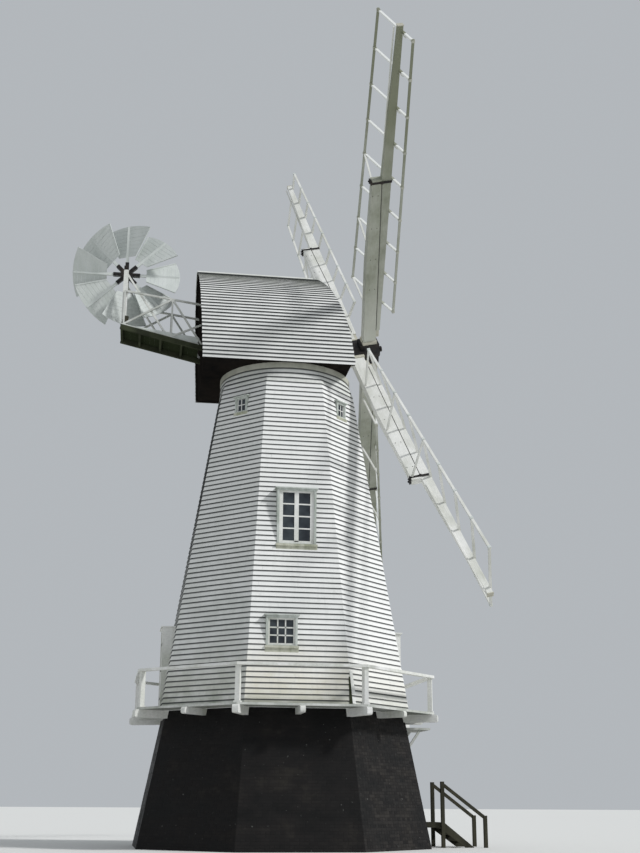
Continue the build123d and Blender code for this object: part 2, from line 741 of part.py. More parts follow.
def stage_rail(hand):
    """The rail, its middle post and the braces of one side of the fan stage, framed as one."""
    x = hand * (STAGE_HALF_WIDTH - SPAR_WIDTH / 2)
    rail_front = stage_rail_point(x, CAP_REAR_AT_EAVE - GABLE_THICKNESS, 1)
    gable_foot = stage_rail_point(x, CAP_REAR_AT_EAVE, 0)
    gable_middle = stage_rail_point(x, CAP_REAR_AT_EAVE, 1 / 2)
    middle_foot = stage_rail_point(x, STAGE_POST_REAR, 0)
    middle_top = stage_rail_point(x, STAGE_POST_REAR, 1)
    rear_foot = stage_rail_point(x, FAN_CENTRE_REAR, 0)
    rear_top = stage_rail_point(x, FAN_CENTRE_REAR, 1)
    parts = []
    for start, end in ((rail_front, rear_top), (middle_foot, middle_top), (rear_foot, rear_top),
                       (gable_foot, middle_top), (gable_middle, middle_foot), (rear_foot, middle_top)):
        parts.append(beam(start, end, STAGE_BRACE, STAGE_BRACE))
    frame = parts[0] + parts[1:]
    return frame - cap_room(GABLE_SETBACK) - under_stage(SPAR_DEPTH)


def fan_bearings():
    blocks = []
    half = FAN_POST_WIDTH / 2
    centre = FAN_CENTRE_LEVEL
    for hand in (-1, 1):
        x = hand * FAN_POST_OFFSET
        body = block(x - FAN_POST_THICKNESS / 2, x + FAN_POST_THICKNESS / 2, FAN_CENTRE_REAR - half,
                     FAN_CENTRE_REAR + half, centre - BEARING_HALF_HEIGHT, centre + BEARING_HALF_HEIGHT)
        blocks.append(body - fan_spindle(JOURNAL_CLEARANCE))
    return blocks


def fan_spindle(extra=0):
    reach = FAN_POST_OFFSET + FAN_POST_THICKNESS
    centre = Plane(origin=(-reach, FAN_CENTRE_REAR, FAN_CENTRE_LEVEL), z_dir=(1, 0, 0))
    return extrude(centre * Circle(SPINDLE_RADIUS + extra), 2 * reach)


# Sails: built square to the windshaft with x' outward along a sail, y' leading, z' forward

def stock_width(radius):
    share = max(0, radius - POLL_REACH) / (STOCK_REACH - POLL_REACH)
    return STOCK_WIDTH + (STOCK_END_WIDTH - STOCK_WIDTH) * share


def stock_depth(radius):
    share = max(0, radius - STOCK_TAPER_START) / (STOCK_REACH - STOCK_TAPER_START)
    return STOCK_DEPTH + (STOCK_END_DEPTH - STOCK_DEPTH) * share


def stock_section(radius):
    """The stock's section at a distance from the windshaft, with its front face always in one plane."""
    lift = (STOCK_DEPTH - stock_depth(radius)) / 2
    return Pos(0, lift, radius) * Rectangle(stock_width(radius), stock_depth(radius))


def outward(shape):
    """Turn sections drawn square to +Z so that they run out along a sail."""
    return Plane(origin=(0, 0, 0), x_dir=(0, 1, 0), z_dir=(1, 0, 0)) * shape


def stock(side):
    """One stock through the poll end; its front face stays flat where the whips lie on it."""
    arm = extrude(stock_section(0), POLL_REACH)
    arm += loft([stock_section(POLL_REACH), stock_section(STOCK_TAPER_START)], ruled=True)
    arm += loft([stock_section(STOCK_TAPER_START), stock_section(STOCK_REACH)], ruled=True)
    arm = outward(arm)
    return Pos(0, 0, side * STOCK_SPACING / 2) * (arm + Rot(0, 0, 180) * arm)


def in_sail_frame(shape, angle):
    return shaft_axis_plane() * Rot(0, 0, angle) * shape


def weather(index):
    return TIP_WEATHER + (HEEL_WEATHER - TIP_WEATHER) * index / BAYS


def bar_end(index, reach):
    twist = math.radians(weather(index))
    radius = TIP_BAR_RADIUS - index * BAR_SPACING
    return Vector(radius, reach * math.cos(twist), whip_front(radius) + BAR_LIFT + reach * math.sin(twist))


def whip_front(radius):
    """How far the whip's front face stands ahead of the stock's front face."""
    share = (radius - WHIP_START) / (WHIP_REACH - WHIP_START)
    return WHIP_HEEL_FRONT + (WHIP_TIP_FRONT - WHIP_HEEL_FRONT) * share


def whip_section(radius, depth):
    share = (radius - WHIP_START) / (WHIP_REACH - WHIP_START)
    width = WHIP_WIDTH + (WHIP_TIP_WIDTH - WHIP_WIDTH) * share
    return Pos(0, whip_front(radius) - depth / 2, radius) * Rectangle(width, depth)


def whip():
    """A whip that lies on the stock as far as the stock goes and leans forward all the way."""
    heel = whip_section(WHIP_START, WHIP_HEEL_FRONT)
    middle = whip_section(STOCK_REACH, whip_front(STOCK_REACH))
    tip = whip_section(WHIP_REACH, WHIP_TIP_DEPTH)
    return outward(loft([heel, middle], ruled=True) + loft([middle, tip], ruled=True))


def sail_bar(index):
    """One bar through the whip, turned about the whip by the sail's weather."""
    radius = TIP_BAR_RADIUS - index * BAR_SPACING
    length = LEADING_WIDTH + TRAILING_WIDTH
    bar = Pos(0, (LEADING_WIDTH - TRAILING_WIDTH) / 2, 0) * Box(BAR_WIDTH, length, BAR_DEPTH)
    return Pos(radius, 0, whip_front(radius) + BAR_LIFT) * Rot(weather(index), 0, 0) * bar


def hemlath(reach):
    start = bar_end(BAYS, reach)
    end = bar_end(0, reach)
    run = (end - start).normalized()
    start = start - run * BAR_WIDTH
    end = end + run * BAR_WIDTH
    return beam(tuple(start), tuple(end), HEMLATH_DEPTH, HEMLATH_WIDTH)


def sail_frame():
    frame = whip()
    for index in range(BAYS + 1):
        frame = frame + sail_bar(index)
    return frame + hemlath(LEADING_WIDTH) + hemlath(-TRAILING_WIDTH)


def sail_side(index):
    return 1 if index % 2 else -1


def sail_angle(index):
    return SAIL_REST_ANGLE + index * 90


def sails():
    frame = sail_frame()
    found = {}
    for index, name in enumerate(SAIL_NAMES):
        lift = sail_side(index) * STOCK_SPACING / 2 + STOCK_DEPTH / 2
        found["sail_" + name] = in_sail_frame(Pos(0, 0, lift) * frame, sail_angle(index))
    return found


def poll_sleeve(side):
    outer = Box(2 * POLL_REACH, STOCK_WIDTH + 2 * POLL_WALL, STOCK_SPACING + 2 * POLL_WALL)
    return Pos(0, 0, side * STOCK_SPACING / 2) * outer


def stocks():
    return {
        "stock_outer": in_sail_frame(stock(1), sail_angle(1)),
        "stock_inner": in_sail_frame(stock(-1), sail_angle(0)),
    }


def poll_end():
    outer = in_sail_frame(poll_sleeve(1), sail_angle(1))
    inner = in_sail_frame(poll_sleeve(-1), sail_angle(0))
    nose = shaft_cylinder(SHAFT_RADIUS, 0, STOCK_SPACING + POLL_NOSE)
    return outer + inner + nose - list(stocks().values())


def windshaft():
    front = -STOCK_SPACING - POLL_WALL
    return shaft_cylinder(SHAFT_RADIUS, SHAFT_REAR_LENGTH, front)


def striking_rod():
    """The striking gear's rod out of the poll end, with the disc at its nose."""
    start = STOCK_SPACING + POLL_NOSE
    rod = extrude(shaft_axis_plane(start) * Circle(STRIKING_ROD_RADIUS), STRIKING_ROD_LENGTH)
    disc_start = start + STRIKING_ROD_LENGTH - STRIKING_DISC_THICKNESS
    return rod + extrude(shaft_axis_plane(disc_start) * Circle(STRIKING_DISC_RADIUS), STRIKING_DISC_THICKNESS)


def stock_clamps():
    """An iron strap round each stock's end and the whip that lies on it."""
    middle = STOCK_REACH - CLAMP_INSET
    inner_edge = middle - CLAMP_LENGTH / 2
    outer_edge = middle + CLAMP_LENGTH / 2
    width = stock_width(inner_edge) + 2 * SEAT_CLEARANCE
    depth = stock_depth(inner_edge) + whip_front(outer_edge) + 2 * SEAT_CLEARANCE
    lift = (whip_front(outer_edge) - stock_depth(inner_edge)) / 2
    outer = Box(CLAMP_LENGTH, width + 2 * CLAMP_THICKNESS, depth + 2 * CLAMP_THICKNESS)
    band = outer - Box(CLAMP_LENGTH, width, depth)
    straps = []
    for index in range(len(SAIL_NAMES)):
        front = sail_side(index) * STOCK_SPACING / 2 + STOCK_DEPTH / 2
        straps.append(in_sail_frame(Pos(middle, 0, front + lift) * band, sail_angle(index)))
    return straps


# Fantail: built in the Y-Z plane about its spindle, which lies along X

def fan_place(shape, index):
    angle = index * 360 / FAN_BLADES
    centre = Plane(origin=(0, FAN_CENTRE_REAR, FAN_CENTRE_LEVEL),
                   x_dir=(0, -1, 0), z_dir=(-1, 0, 0))
    return centre * Rot(0, 0, angle) * shape


def fan_blade():
    """A pitched trapezoid board with an arched outer edge, on its own spar."""
    swing = BLADE_OUTER_HALF_WIDTH * math.cos(math.radians(BLADE_PITCH))
    corner = math.sqrt(FAN_RADIUS ** 2 - swing ** 2)
    inner = (FAN_INNER_RADIUS, BLADE_INNER_HALF_WIDTH)
    outline = Line((inner[0], -inner[1]), (corner, -BLADE_OUTER_HALF_WIDTH))
    outline += ThreePointArc((corner, -BLADE_OUTER_HALF_WIDTH), (FAN_RADIUS, 0),
                             (corner, BLADE_OUTER_HALF_WIDTH))
    outline += Line((corner, BLADE_OUTER_HALF_WIDTH), inner)
    outline += Line(inner, (inner[0], -inner[1]))
    board = Pos(0, 0, -BLADE_THICKNESS / 2) * extrude(make_face(outline), BLADE_THICKNESS)
    board = Rot(-BLADE_PITCH, 0, 0) * board
    length = FAN_RADIUS - HUB_CORE_RADIUS - BLADE_THICKNESS
    spar = Pos(HUB_CORE_RADIUS + length / 2, 0, 0) * Box(length, FAN_SPAR_WIDTH, FAN_SPAR_DEPTH)
    return board + spar


def fan_blades():
    blade = fan_blade()
    return [fan_place(blade, index) for index in range(FAN_BLADES)]


def fan_hub():
    thickness = FAN_SPAR_DEPTH + 2 * HUB_PLATE
    core = fan_place(Cylinder(HUB_CORE_RADIUS, thickness), 0)
    arms = []
    for index in range(FAN_BLADES):
        for face in (-1, 1):
            lift = face * (FAN_SPAR_DEPTH + HUB_PLATE) / 2
            arm = Pos(HUB_ARM_REACH / 2, 0, lift) * Box(HUB_ARM_REACH, HUB_ARM_WIDTH, HUB_PLATE)
            arms.append(fan_place(arm, index))
    return core + arms + fan_spindle()


def tower_nodes():
    openings = smock_openings()
    windows = [opening for opening in openings if not opening.is_door]
    doors = [opening for opening in openings if opening.is_door]
    nodes = {"ground_floor": ground_floor()}
    nodes.update(brick_walls())
    nodes["entry_landing"] = entry_landing()
    nodes["entry_steps"] = entry_steps()
    nodes["entry_rails"] = [entry_rail(-1), entry_rail(1)]
    nodes["door_hood"] = door_hood()
    nodes["gallery_joists"] = gallery_joist_list()
    nodes["gallery_deck"] = gallery_deck()
    nodes["gallery_posts"] = gallery_posts()
    nodes["gallery_rail"] = gallery_rail()
    nodes["storey_floors"] = storey_floors()
    nodes.update(smock_walls())
    nodes["smock_neck"] = smock_neck()
    nodes["curb"] = curb()
    nodes["window_casings"] = [casing(window) for window in windows]
    nodes["window_sashes"] = [sash(window) for window in windows]
    nodes["window_glass"] = [pane(window) for window in windows]
    nodes["door_frames"] = [base_door_frame()] + [casing(door) for door in doors]
    nodes["doors"] = [base_door()] + [door_leaf(door) for door in doors]
    return nodes


def cap_nodes():
    """The cap and all it carries, built facing -Y."""
    nodes = {"cap_floor": cap_floor()}
    nodes["cap_roof_right"] = cap_roof(1)
    nodes["cap_roof_left"] = cap_roof(-1)
    nodes["cap_gable_front"] = cap_gable_front()
    nodes["cap_gable_rear"] = cap_gable_rear()
    nodes["ridge_board"] = ridge_board()
    nodes["shaft_beams"] = shaft_beams()
    nodes["stage_spars"] = stage_spars()
    nodes["stage_deck"] = stage_deck()
    nodes["fan_posts"] = fan_posts()
    nodes["stage_rails"] = [stage_rail(-1), stage_rail(1)]
    nodes["fan_bearings"] = fan_bearings()
    nodes["windshaft"] = windshaft()
    nodes["poll_end"] = poll_end()
    nodes["stock_clamps"] = stock_clamps()
    nodes["striking_rod"] = striking_rod()
    nodes.update(stocks())
    nodes.update(sails())
    nodes["fan_hub"] = fan_hub()
    nodes["fan_blades"] = fan_blades()
    return nodes


def export_nodes(nodes, turn):
    """Write each node to its own file, turned about the tower's axis."""
    for name, shape in nodes.items():
        solids = shape if isinstance(shape, list) else [shape]
        turned = [Rot(0, 0, turn) * item for item in solids]
        whole = turned[0]
        if len(turned) > 1:
            whole = Compound(children=[solid for item in turned for solid in item.solids()])
        export_step(whole, "parts/" + name + ".step")


export_nodes(tower_nodes(), 0)
export_nodes(cap_nodes(), -CAP_TURN)
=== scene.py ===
# %% [markdown]
# # A smock windmill, dressed in Blender
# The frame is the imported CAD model: every beam, wall and sail already has its size and place. This
# notebook adds what a carpenter, a bricklayer and the weather added: overlapping boards, bricks,
# glazing bars, struts and paint. Lengths are metres, +Z is up and the sails face -Y.

# %% Load the frame
from math import acos, cos, hypot, pi, radians, sin, sqrt, tan
import bpy
import numpy as np
from mathutils import Matrix, Vector


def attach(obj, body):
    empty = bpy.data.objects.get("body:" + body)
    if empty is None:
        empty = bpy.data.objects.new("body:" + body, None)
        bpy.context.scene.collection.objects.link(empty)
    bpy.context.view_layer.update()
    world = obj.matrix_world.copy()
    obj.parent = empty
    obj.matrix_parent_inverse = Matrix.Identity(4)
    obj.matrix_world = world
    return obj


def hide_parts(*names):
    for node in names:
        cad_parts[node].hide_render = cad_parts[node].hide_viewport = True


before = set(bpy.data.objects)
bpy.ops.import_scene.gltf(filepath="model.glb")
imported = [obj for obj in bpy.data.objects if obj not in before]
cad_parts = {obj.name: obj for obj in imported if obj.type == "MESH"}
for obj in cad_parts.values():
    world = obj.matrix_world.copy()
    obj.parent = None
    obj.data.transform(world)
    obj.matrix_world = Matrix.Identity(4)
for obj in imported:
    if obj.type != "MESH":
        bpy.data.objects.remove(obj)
scene = bpy.context.scene
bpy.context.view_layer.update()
chance = np.random.default_rng(7)
join = np.concatenate

# %% [markdown]
# ## Meshes from whole arrays
# Nearly everything on a mill is a straight board. Each could be a scaled cube, but thousands of
# cubes are slow to make and hard to mark. So a thousand boards are one array, (1000, 2, 2, 2, 3),
# low and high across, up and out, and numpy works them out at once. Marks such as how dirty a board
# is, or where its paint is darkened as painted shade, go into the mesh for the material to read.

# %% Put arrays into a mesh
BOARD_FACES = np.array([[0, 2, 3, 1], [4, 5, 7, 6], [0, 1, 5, 4], [2, 6, 7, 3], [0, 4, 6, 2],
                        [1, 3, 7, 5]])
FOOT_FACE, BACK_FACE = 2, 4
CORNERS_AT_TOP = (BOARD_FACES >> 1) & 1
HANDS = np.array([-1, 1])
BOLT_TOP = [[8, 9, 10, 11], [8, 11, 12, 15], [12, 13, 14, 15]]
BOLT_TAPER = 0.75


def add_object(name, data):
    thing = bpy.data.objects.new(name, data)
    scene.collection.objects.link(thing)
    return thing


def put_parts(name, body, points, faces, finish, slot):
    """One mesh of many parts: points is (parts, corners, 3), and faces numbers a part's corners."""
    parts, corners = points.shape[:2]
    quads = (faces[None] + corners * np.arange(parts)[:, None, None]).reshape(-1, 4)
    mesh = bpy.data.meshes.new(name)
    mesh.from_pydata(points.reshape(-1, 3).tolist(), [], quads.tolist())
    mesh.materials.append(finishes[finish])
    piece = add_object(name, mesh)
    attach(piece, body)
    print("%-24s %6d faces on %s" % (name, len(quads), body))
    return piece


def put_boards(name, body, corners, finish, slot=None, **marks):
    """One mesh of many boards. Out is across x up, so every face points outwards. A mark is a number
    for each board, or (at its foot, at its top edge, a face of it, all over that face)."""
    piece = put_parts(name, body, corners.reshape(-1, 8, 3), BOARD_FACES, finish, slot or finish)
    for key, value in marks.items():
        foot, top, face, on_face = value if isinstance(value, tuple) else (value, value, 0, value)
        foot, top = np.reshape(foot, (-1, 1, 1)), np.reshape(top, (-1, 1, 1))
        numbers = np.zeros((len(corners), 6, 4)) + foot + (top - foot) * CORNERS_AT_TOP
        numbers[:, face] = np.reshape(on_face, (-1, 1))
        layer = piece.data.attributes.new(key, "FLOAT", "CORNER")
        layer.data.foreach_set("value", numbers.ravel())
    return piece


def xyz(x, y, z):
    """Points from their coordinates, each an array or one number for all."""
    return np.stack(np.broadcast_arrays(x, y, z), axis=-1)


def unit(vectors):
    return vectors / np.linalg.norm(vectors, axis=-1, keepdims=True)


def board_corners(across, up, out, place):
    """The corners of n boards: across, up and out have two values each, and place turns one of each
    into (n, 3) points."""
    corners = [place(a, u, o) for a in across for u in up for o in out]
    return np.stack(np.broadcast_arrays(*corners), axis=1).reshape(-1, 2, 2, 2, 3)


def lapped_boards(ends, low, high, back, place):
    """Boards whose faces lean: low and high are (height, how far out the face is there), back is how
    far out the back is, and place(end, height, push) gives the points."""
    return board_corners(ends, (low, high), (False, True), lambda end, level, front: place(
        end, level[0], level[1] if front else back))


def boxes(low, high):
    """Square-cut blocks from their low and high corners: across is x, up is y and out is z."""
    x, y, z = np.moveaxis(np.array([np.atleast_2d(low), np.atleast_2d(high)], dtype=float), -1, 0)
    return board_corners(x, y, z, xyz)


def sticks(start, end, wide, deep, side):
    """Straight timbers from start to end, wide along side, made square to the run, and deep square
    to both."""
    start, end = np.atleast_2d(start).astype(float), np.atleast_2d(end).astype(float)
    run = unit(end - start)
    side = unit(side - (side * run).sum(axis=1, keepdims=True) * run)
    face = np.cross(side, run)
    return board_corners((-wide / 2, wide / 2), (start, end), (-deep / 2, deep / 2),
                         lambda across, place, out: place + across * side + out * face)


def put_bolts(name, body, centres, axes, radius, height):
    """Iron bolt heads: eight-sided prisms with a smaller top, which three quads close. Point k of a
    ring lies k/8 of a turn round, in the plane square to the axis."""
    centres, axes = np.asarray(centres), unit(np.asarray(axes))
    aside = np.where(np.abs(axes[:, 2:]) < 0.9, [[0.0, 0.0, 1.0]], [[1.0, 0.0, 0.0]])
    u = unit(np.cross(axes, aside))
    v = np.cross(axes, u)
    k = np.arange(8)
    turn = 2 * pi * k[:, None] / 8
    ring = radius * (np.cos(turn) * u[:, None] + np.sin(turn) * v[:, None])
    foot = centres[:, None] + ring
    top = centres[:, None] + BOLT_TAPER * ring + height * axes[:, None]
    sides = np.stack([k, (k + 1) % 8, (k + 1) % 8 + 8, k + 8], axis=-1)
    put_parts(name, body, join([foot, top], axis=1), join([sides, BOLT_TOP]),
              "black_iron", "black_iron")


# %% [markdown]
# ## Materials
# Paint and wood could be pictures wrapped round each board, but noise needs no unwrapping and never
# repeats. Each finish reads Object coordinates, so its pattern turns with the mill. Noise stretched
# along a board gives grain, and slow noise gives the patches that sun and rain leave.

# %% Node helpers
finishes = {}


def new_finish(name, roughness, gloss=0.5):
    material = finishes[name] = bpy.data.materials.new(name)
    material.use_nodes = True
    shader = material.node_tree.nodes["Principled BSDF"]
    shader.inputs["Roughness"].default_value = roughness
    shader.inputs["Specular IOR Level"].default_value = gloss
    return material.node_tree, shader


def feed(tree, socket, value):
    """Link a socket to another node's output, or give it a plain number or colour."""
    if isinstance(value, bpy.types.NodeSocket):
        tree.links.new(value, socket)
    else:
        socket.default_value = (*value, 1) if socket.type == "RGBA" else value


def add_node(tree, kind, **inputs):
    node = tree.nodes.new("ShaderNode" + kind)
    for key, value in inputs.items():
        feed(tree, node.inputs[key], value)
    return node


def object_place(tree, turn, stretch, centre=(0, 0, 0)):
    """Object coordinates from a centre, turned back by a rotation and then stretched."""
    node = add_node(tree, "Mapping", Vector=add_node(tree, "TexCoord").outputs["Object"],
                    Location=centre, Rotation=turn, Scale=[1 / s for s in stretch])
    node.vector_type = "TEXTURE"
    return node.outputs["Vector"]


def object_noise(tree, stretch, scale, detail, rough, turn=(0, 0, 0)):
    """Noise on Object coordinates, from 0 to 1. With turn, x runs along a slanting timber."""
    return add_node(tree, "TexNoise", Vector=object_place(tree, turn, stretch), Scale=scale,
                    Detail=detail, Roughness=rough).outputs["Fac"]


def mark(tree, name):
    """A number that the mesh carries, or 0 where it has no such attribute."""
    node = add_node(tree, "Attribute")
    node.attribute_name = name
    return node.outputs["Fac"]


def ramp(tree, value, stops):
    """A colour ramp with stops of (position, colour); a single number stands for a grey."""
    node = add_node(tree, "ValToRGB", Fac=value)
    elements = node.color_ramp.elements
    elements.remove(elements[-1])
    for index, (position, colour) in enumerate(stops):
        stop = elements.new(position) if index else elements[0]
        stop.position = position
        stop.color = (*np.broadcast_to(colour, 3), 1)
    return node.outputs["Color"]


def blend_colours(tree, factor, first, second, how="MIX"):
    """The first colour where factor is 0 and the second, or their product, where it is 1."""
    node = add_node(tree, "Mix")
    node.data_type, node.blend_type = "RGBA", how
    for key, value in (("Factor", factor), (6, first), (7, second)):
        feed(tree, node.inputs[key], value)
    return node.outputs[2]


def calculate(tree, how, *values):
    node = add_node(tree, "Math")
    node.operation = how
    for socket, value in zip(node.inputs, values):
        feed(tree, socket, value)
    return node.outputs[0]


def finish_off(tree, shader, colour, height, strength=0.3, distance=0.004):
    bump = add_node(tree, "Bump", Strength=strength, Distance=distance, Height=height)
    feed(tree, shader.inputs["Normal"], bump.outputs["Normal"])
    feed(tree, shader.inputs["Base Color"], colour)


def painted_wood(name, grain, base, dirt, amount, roughness, turn=(0, 0, 0), patch=1.7, gloss=0.5,
                 under=None):
    """Paint over grain: fine noise along the grain shows in the colour and the bump, and slow noise
    brings in the dirt. under is a colour painted as shade on faces marked as an underside."""
    tree, shader = new_finish(name, roughness, gloss)
    fine = object_noise(tree, grain, 9.0, 6.0, 0.6, turn)
    slow = object_noise(tree, (1, 1, 0.4), patch, 6.0, 0.62)
    colour = blend_colours(tree, ramp(tree, slow, [(0.4, 0.0), (0.72, amount)]), base, dirt)
    if under is not None:
        colour = blend_colours(tree, mark(tree, "under"), colour, under)
    lines = ramp(tree, fine, [(0.3, 0.78), (0.55, 1.0)])
    finish_off(tree, shader, blend_colours(tree, 0.6, colour, lines, "MULTIPLY"), fine)


# %% [markdown]
# ## White weatherboards
# Just under each lap the next board shades it, so the white paint is darkened there as painted
# shade, and on each foot's underside too. Noise alone can't find the laps, so the painted shade
# follows a mark that runs from 0 at a board's foot to 1 at its top edge. Each board has its own
# tone, moss grows where the sun is weak, and low on the sunny side the paint has yellowed.

# %% White boards
def patchy(tree, name, noise, *stops):
    """A mark that the noise breaks up."""
    return calculate(tree, "MULTIPLY", mark(tree, name), ramp(tree, noise, stops))


def boarded_white(name, grain, lap_shade_stops, moss_colour):
    """White paint that reads the boards' marks: lap (painted shade), tone, moss and cream."""
    tree, shader = new_finish(name, 0.6)
    fine = object_noise(tree, grain, 8.0, 6.0, 0.62)
    slow = object_noise(tree, (1, 1, 1), 1.3, 6.0, 0.65)
    streaks = object_noise(tree, (5, 5, 0.35), 1.6, 5.0, 0.6)
    cream = patchy(tree, "cream", slow, (0.35, 0.35), (0.6, 1.0))
    moss = patchy(tree, "moss", slow, (0.34, 0.15), (0.58, 1.0))
    runs = ramp(tree, streaks, [(0.52, 0.0), (0.75, 0.22)])
    peel = ramp(tree, fine, [(0.24, 0.55), (0.4, 0.0)])
    colour = ramp(tree, mark(tree, "tone"), [(0.0, (0.79, 0.795, 0.78)), (1.0, (0.84, 0.84, 0.825))])
    # The lap mark lays a near-black painted shade under each lap and on each foot's underside.
    for factor, covering in ((cream, (0.76, 0.69, 0.5)), (runs, (0.5, 0.52, 0.5)),
                             (moss, moss_colour),
                             (ramp(tree, mark(tree, "lap"), lap_shade_stops), (0.045, 0.05, 0.05)),
                             (peel, (0.38, 0.38, 0.35))):
        colour = blend_colours(tree, factor, colour, covering)
    finish_off(tree, shader, colour, fine)


boarded_white("white_boards", (0.6, 0.6, 9), [(0.58, 0.0), (0.72, 0.8), (0.86, 1.0)],
              (0.34, 0.37, 0.3))
boarded_white("cap_boards_white", (9, 0.6, 9), [(0.5, 0.0), (0.66, 0.85), (0.8, 1.0)],
              (0.42, 0.44, 0.34))
print("board finishes:", *finishes)

# %% [markdown]
# ## Tarred brick and glass
# The base's tar is nearly black, a little glossy, and worn to brown in patches. Old panes are not
# flat. Each could be one plain colour, but slow noise in the colour and the bump keeps large dark
# faces from looking moulded.

# %% Tar and glass
def tarred_brick():
    """Black tar with worn patches, pale specks, and dust with painted sunlight
    on the bricks that are marked.
    """
    tree, shader = new_finish("tarred_brick", 0.7, 0.15)
    grit = object_noise(tree, (1, 1, 1), 34.0, 5.0, 0.7)
    slow = object_noise(tree, (1, 1, 1.6), 1.1, 7.0, 0.62)
    specks = ramp(tree, object_noise(tree, (1, 1, 1), 14.0, 2.0, 0.5), [(0.73, 0.0), (0.77, 0.25)])
    dust_and_sunlight = patchy(tree, "tone", slow, (0.4, 0.25), (0.62, 1.0))
    colour = ramp(tree, slow, [(0.36, (0.005, 0.005, 0.005)), (0.56, (0.009, 0.008, 0.008)),
                               (0.74, (0.024, 0.022, 0.019))])
    colour = blend_colours(tree, dust_and_sunlight, colour, (0.042, 0.038, 0.034))
    colour = blend_colours(tree, specks, colour, (0.3, 0.31, 0.29))
    feed(tree, shader.inputs["Roughness"], ramp(tree, slow, [(0.4, 0.52), (0.7, 0.85)]))
    finish_off(tree, shader, colour, grit, 0.35, 0.003)


def old_glass():
    tree, shader = new_finish("window_glass", 0.06)
    wave = object_noise(tree, (1, 1, 1), 3.0, 2.0, 0.5)
    colour = ramp(tree, wave, [(0.35, (0.012, 0.016, 0.022)), (0.65, (0.04, 0.05, 0.058))])
    finish_off(tree, shader, colour, wave, 0.15, 0.01)


tarred_brick()
old_glass()
print("finishes:", *finishes)

# %% [markdown]
# ## Timber and iron finishes
# The sails' timbers slant, so their grain is laid in coordinates turned to the sail's own axes,
# which give the angles better than a guess by hand. One pair of sails keeps its white paint. The
# other pair is grey-green, partly weathered paint and partly painted shade.

# %% Sail axes
CAP_TURN = radians(1.52)
SHAFT_TILT = radians(12.84)
SAIL_ANGLE = radians(57)
HUB = np.array([0.0, -2.196, 13.562])
SIDEWAYS = np.array([1.0, 0.0, 0.0])
FORWARD = np.array([0.0, -cos(SHAFT_TILT), sin(SHAFT_TILT)])
RISE = np.array([0.0, sin(SHAFT_TILT), cos(SHAFT_TILT)])


def turned(points):
    """Points turned with the cap about the tower's axis."""
    x, y, z = np.moveaxis(np.asarray(points, dtype=float), -1, 0)
    c, s = cos(CAP_TURN), sin(CAP_TURN)
    return xyz(x * c + y * s, y * c - x * s, z)


def sail_axes(index):
    """A sail's directions: outward along it, toward its leading edge, and forward."""
    angle = SAIL_ANGLE + index * pi / 2
    outward = cos(angle) * SIDEWAYS + sin(angle) * RISE
    leading = cos(angle) * RISE - sin(angle) * SIDEWAYS
    return turned(outward), turned(leading), turned(FORWARD)


def grain_turn(index):
    return Matrix(sail_axes(index)).transposed().to_euler()


def whiten_bars(tree):
    """Only the grey pair's beams are grey, partly worn paint and partly painted shade, so beside them,
    by y in units of 2 m, it is white. By x in units of 10 m, a beam goes from pale at the hub to
    lichen at the tip."""
    shader = tree.nodes["Principled BSDF"]
    split = add_node(tree, "SeparateXYZ",
                     Vector=object_place(tree, grain_turn(1), (0.1, 0.5, 0.5), turned(HUB)))
    x, y = split.outputs[:2]
    along, beside = calculate(tree, "ABSOLUTE", x), calculate(tree, "ABSOLUTE", y)
    trailing = ramp(tree, calculate(tree, "MULTIPLY", x, y), [(0.0, 1.0), (0.001, 0.0)])
    lichen = ramp(tree, along, [(0.54, 0.0), (0.72, 0.85)])
    pale = ramp(tree, along, [(0.05, 0.7), (0.26, 0.0)])
    near = ramp(tree, beside, [(0.076, 0.0), (0.08, 1.0), (0.262, 1.0), (0.268, 0.0)])
    far = ramp(tree, beside, [(0.25, 0.0), (0.255, 1.0), (0.655, 1.0), (0.665, 0.0)])
    white = (0.8, 0.81, 0.79)
    colour = shader.inputs["Base Color"].links[0].from_socket
    for factor, covering in ((lichen, (0.19, 0.2, 0.13)), (pale, (0.62, 0.63, 0.57)), (near, white),
                             (calculate(tree, "MULTIPLY", trailing, far), white)):
        colour = blend_colours(tree, factor, colour, covering)
    feed(tree, shader.inputs["Base Color"], colour)


# %% The other finishes, and one for each CAD node
painted_wood("white_timber", (1.5, 1.5, 3), (0.8, 0.8, 0.78), (0.5, 0.52, 0.44), 0.8, 0.5)
painted_wood("sail_white", (0.5, 7, 7), (0.8, 0.8, 0.77), (0.52, 0.53, 0.46), 0.8, 0.55,
             grain_turn(0))
# The grey sail finish is the white paint darkened, partly by weathering and partly as painted shade.
painted_wood("sail_grey", (0.5, 7, 7), (0.4, 0.41, 0.35), (0.25, 0.265, 0.2), 1.0, 0.7,
             grain_turn(1))
whiten_bars(finishes["sail_grey"].node_tree)
painted_wood("fan_paint", (2, 5, 5), (0.63, 0.66, 0.64), (0.5, 0.54, 0.51), 0.8, 0.65, patch=2.4)
painted_wood("dark_timber", (2, 2, 2), (0.06, 0.058, 0.042), (0.03, 0.03, 0.024), 1.0, 0.7, gloss=0.0)
# This dark moss green is partly moss and partly painted shade, on timbers under the fan stage and in
# the corner gap.
painted_wood("mossy_timber", (5, 1, 5), (0.055, 0.062, 0.038), (0.022, 0.024, 0.018), 1.0, 0.75,
             gloss=0.0)
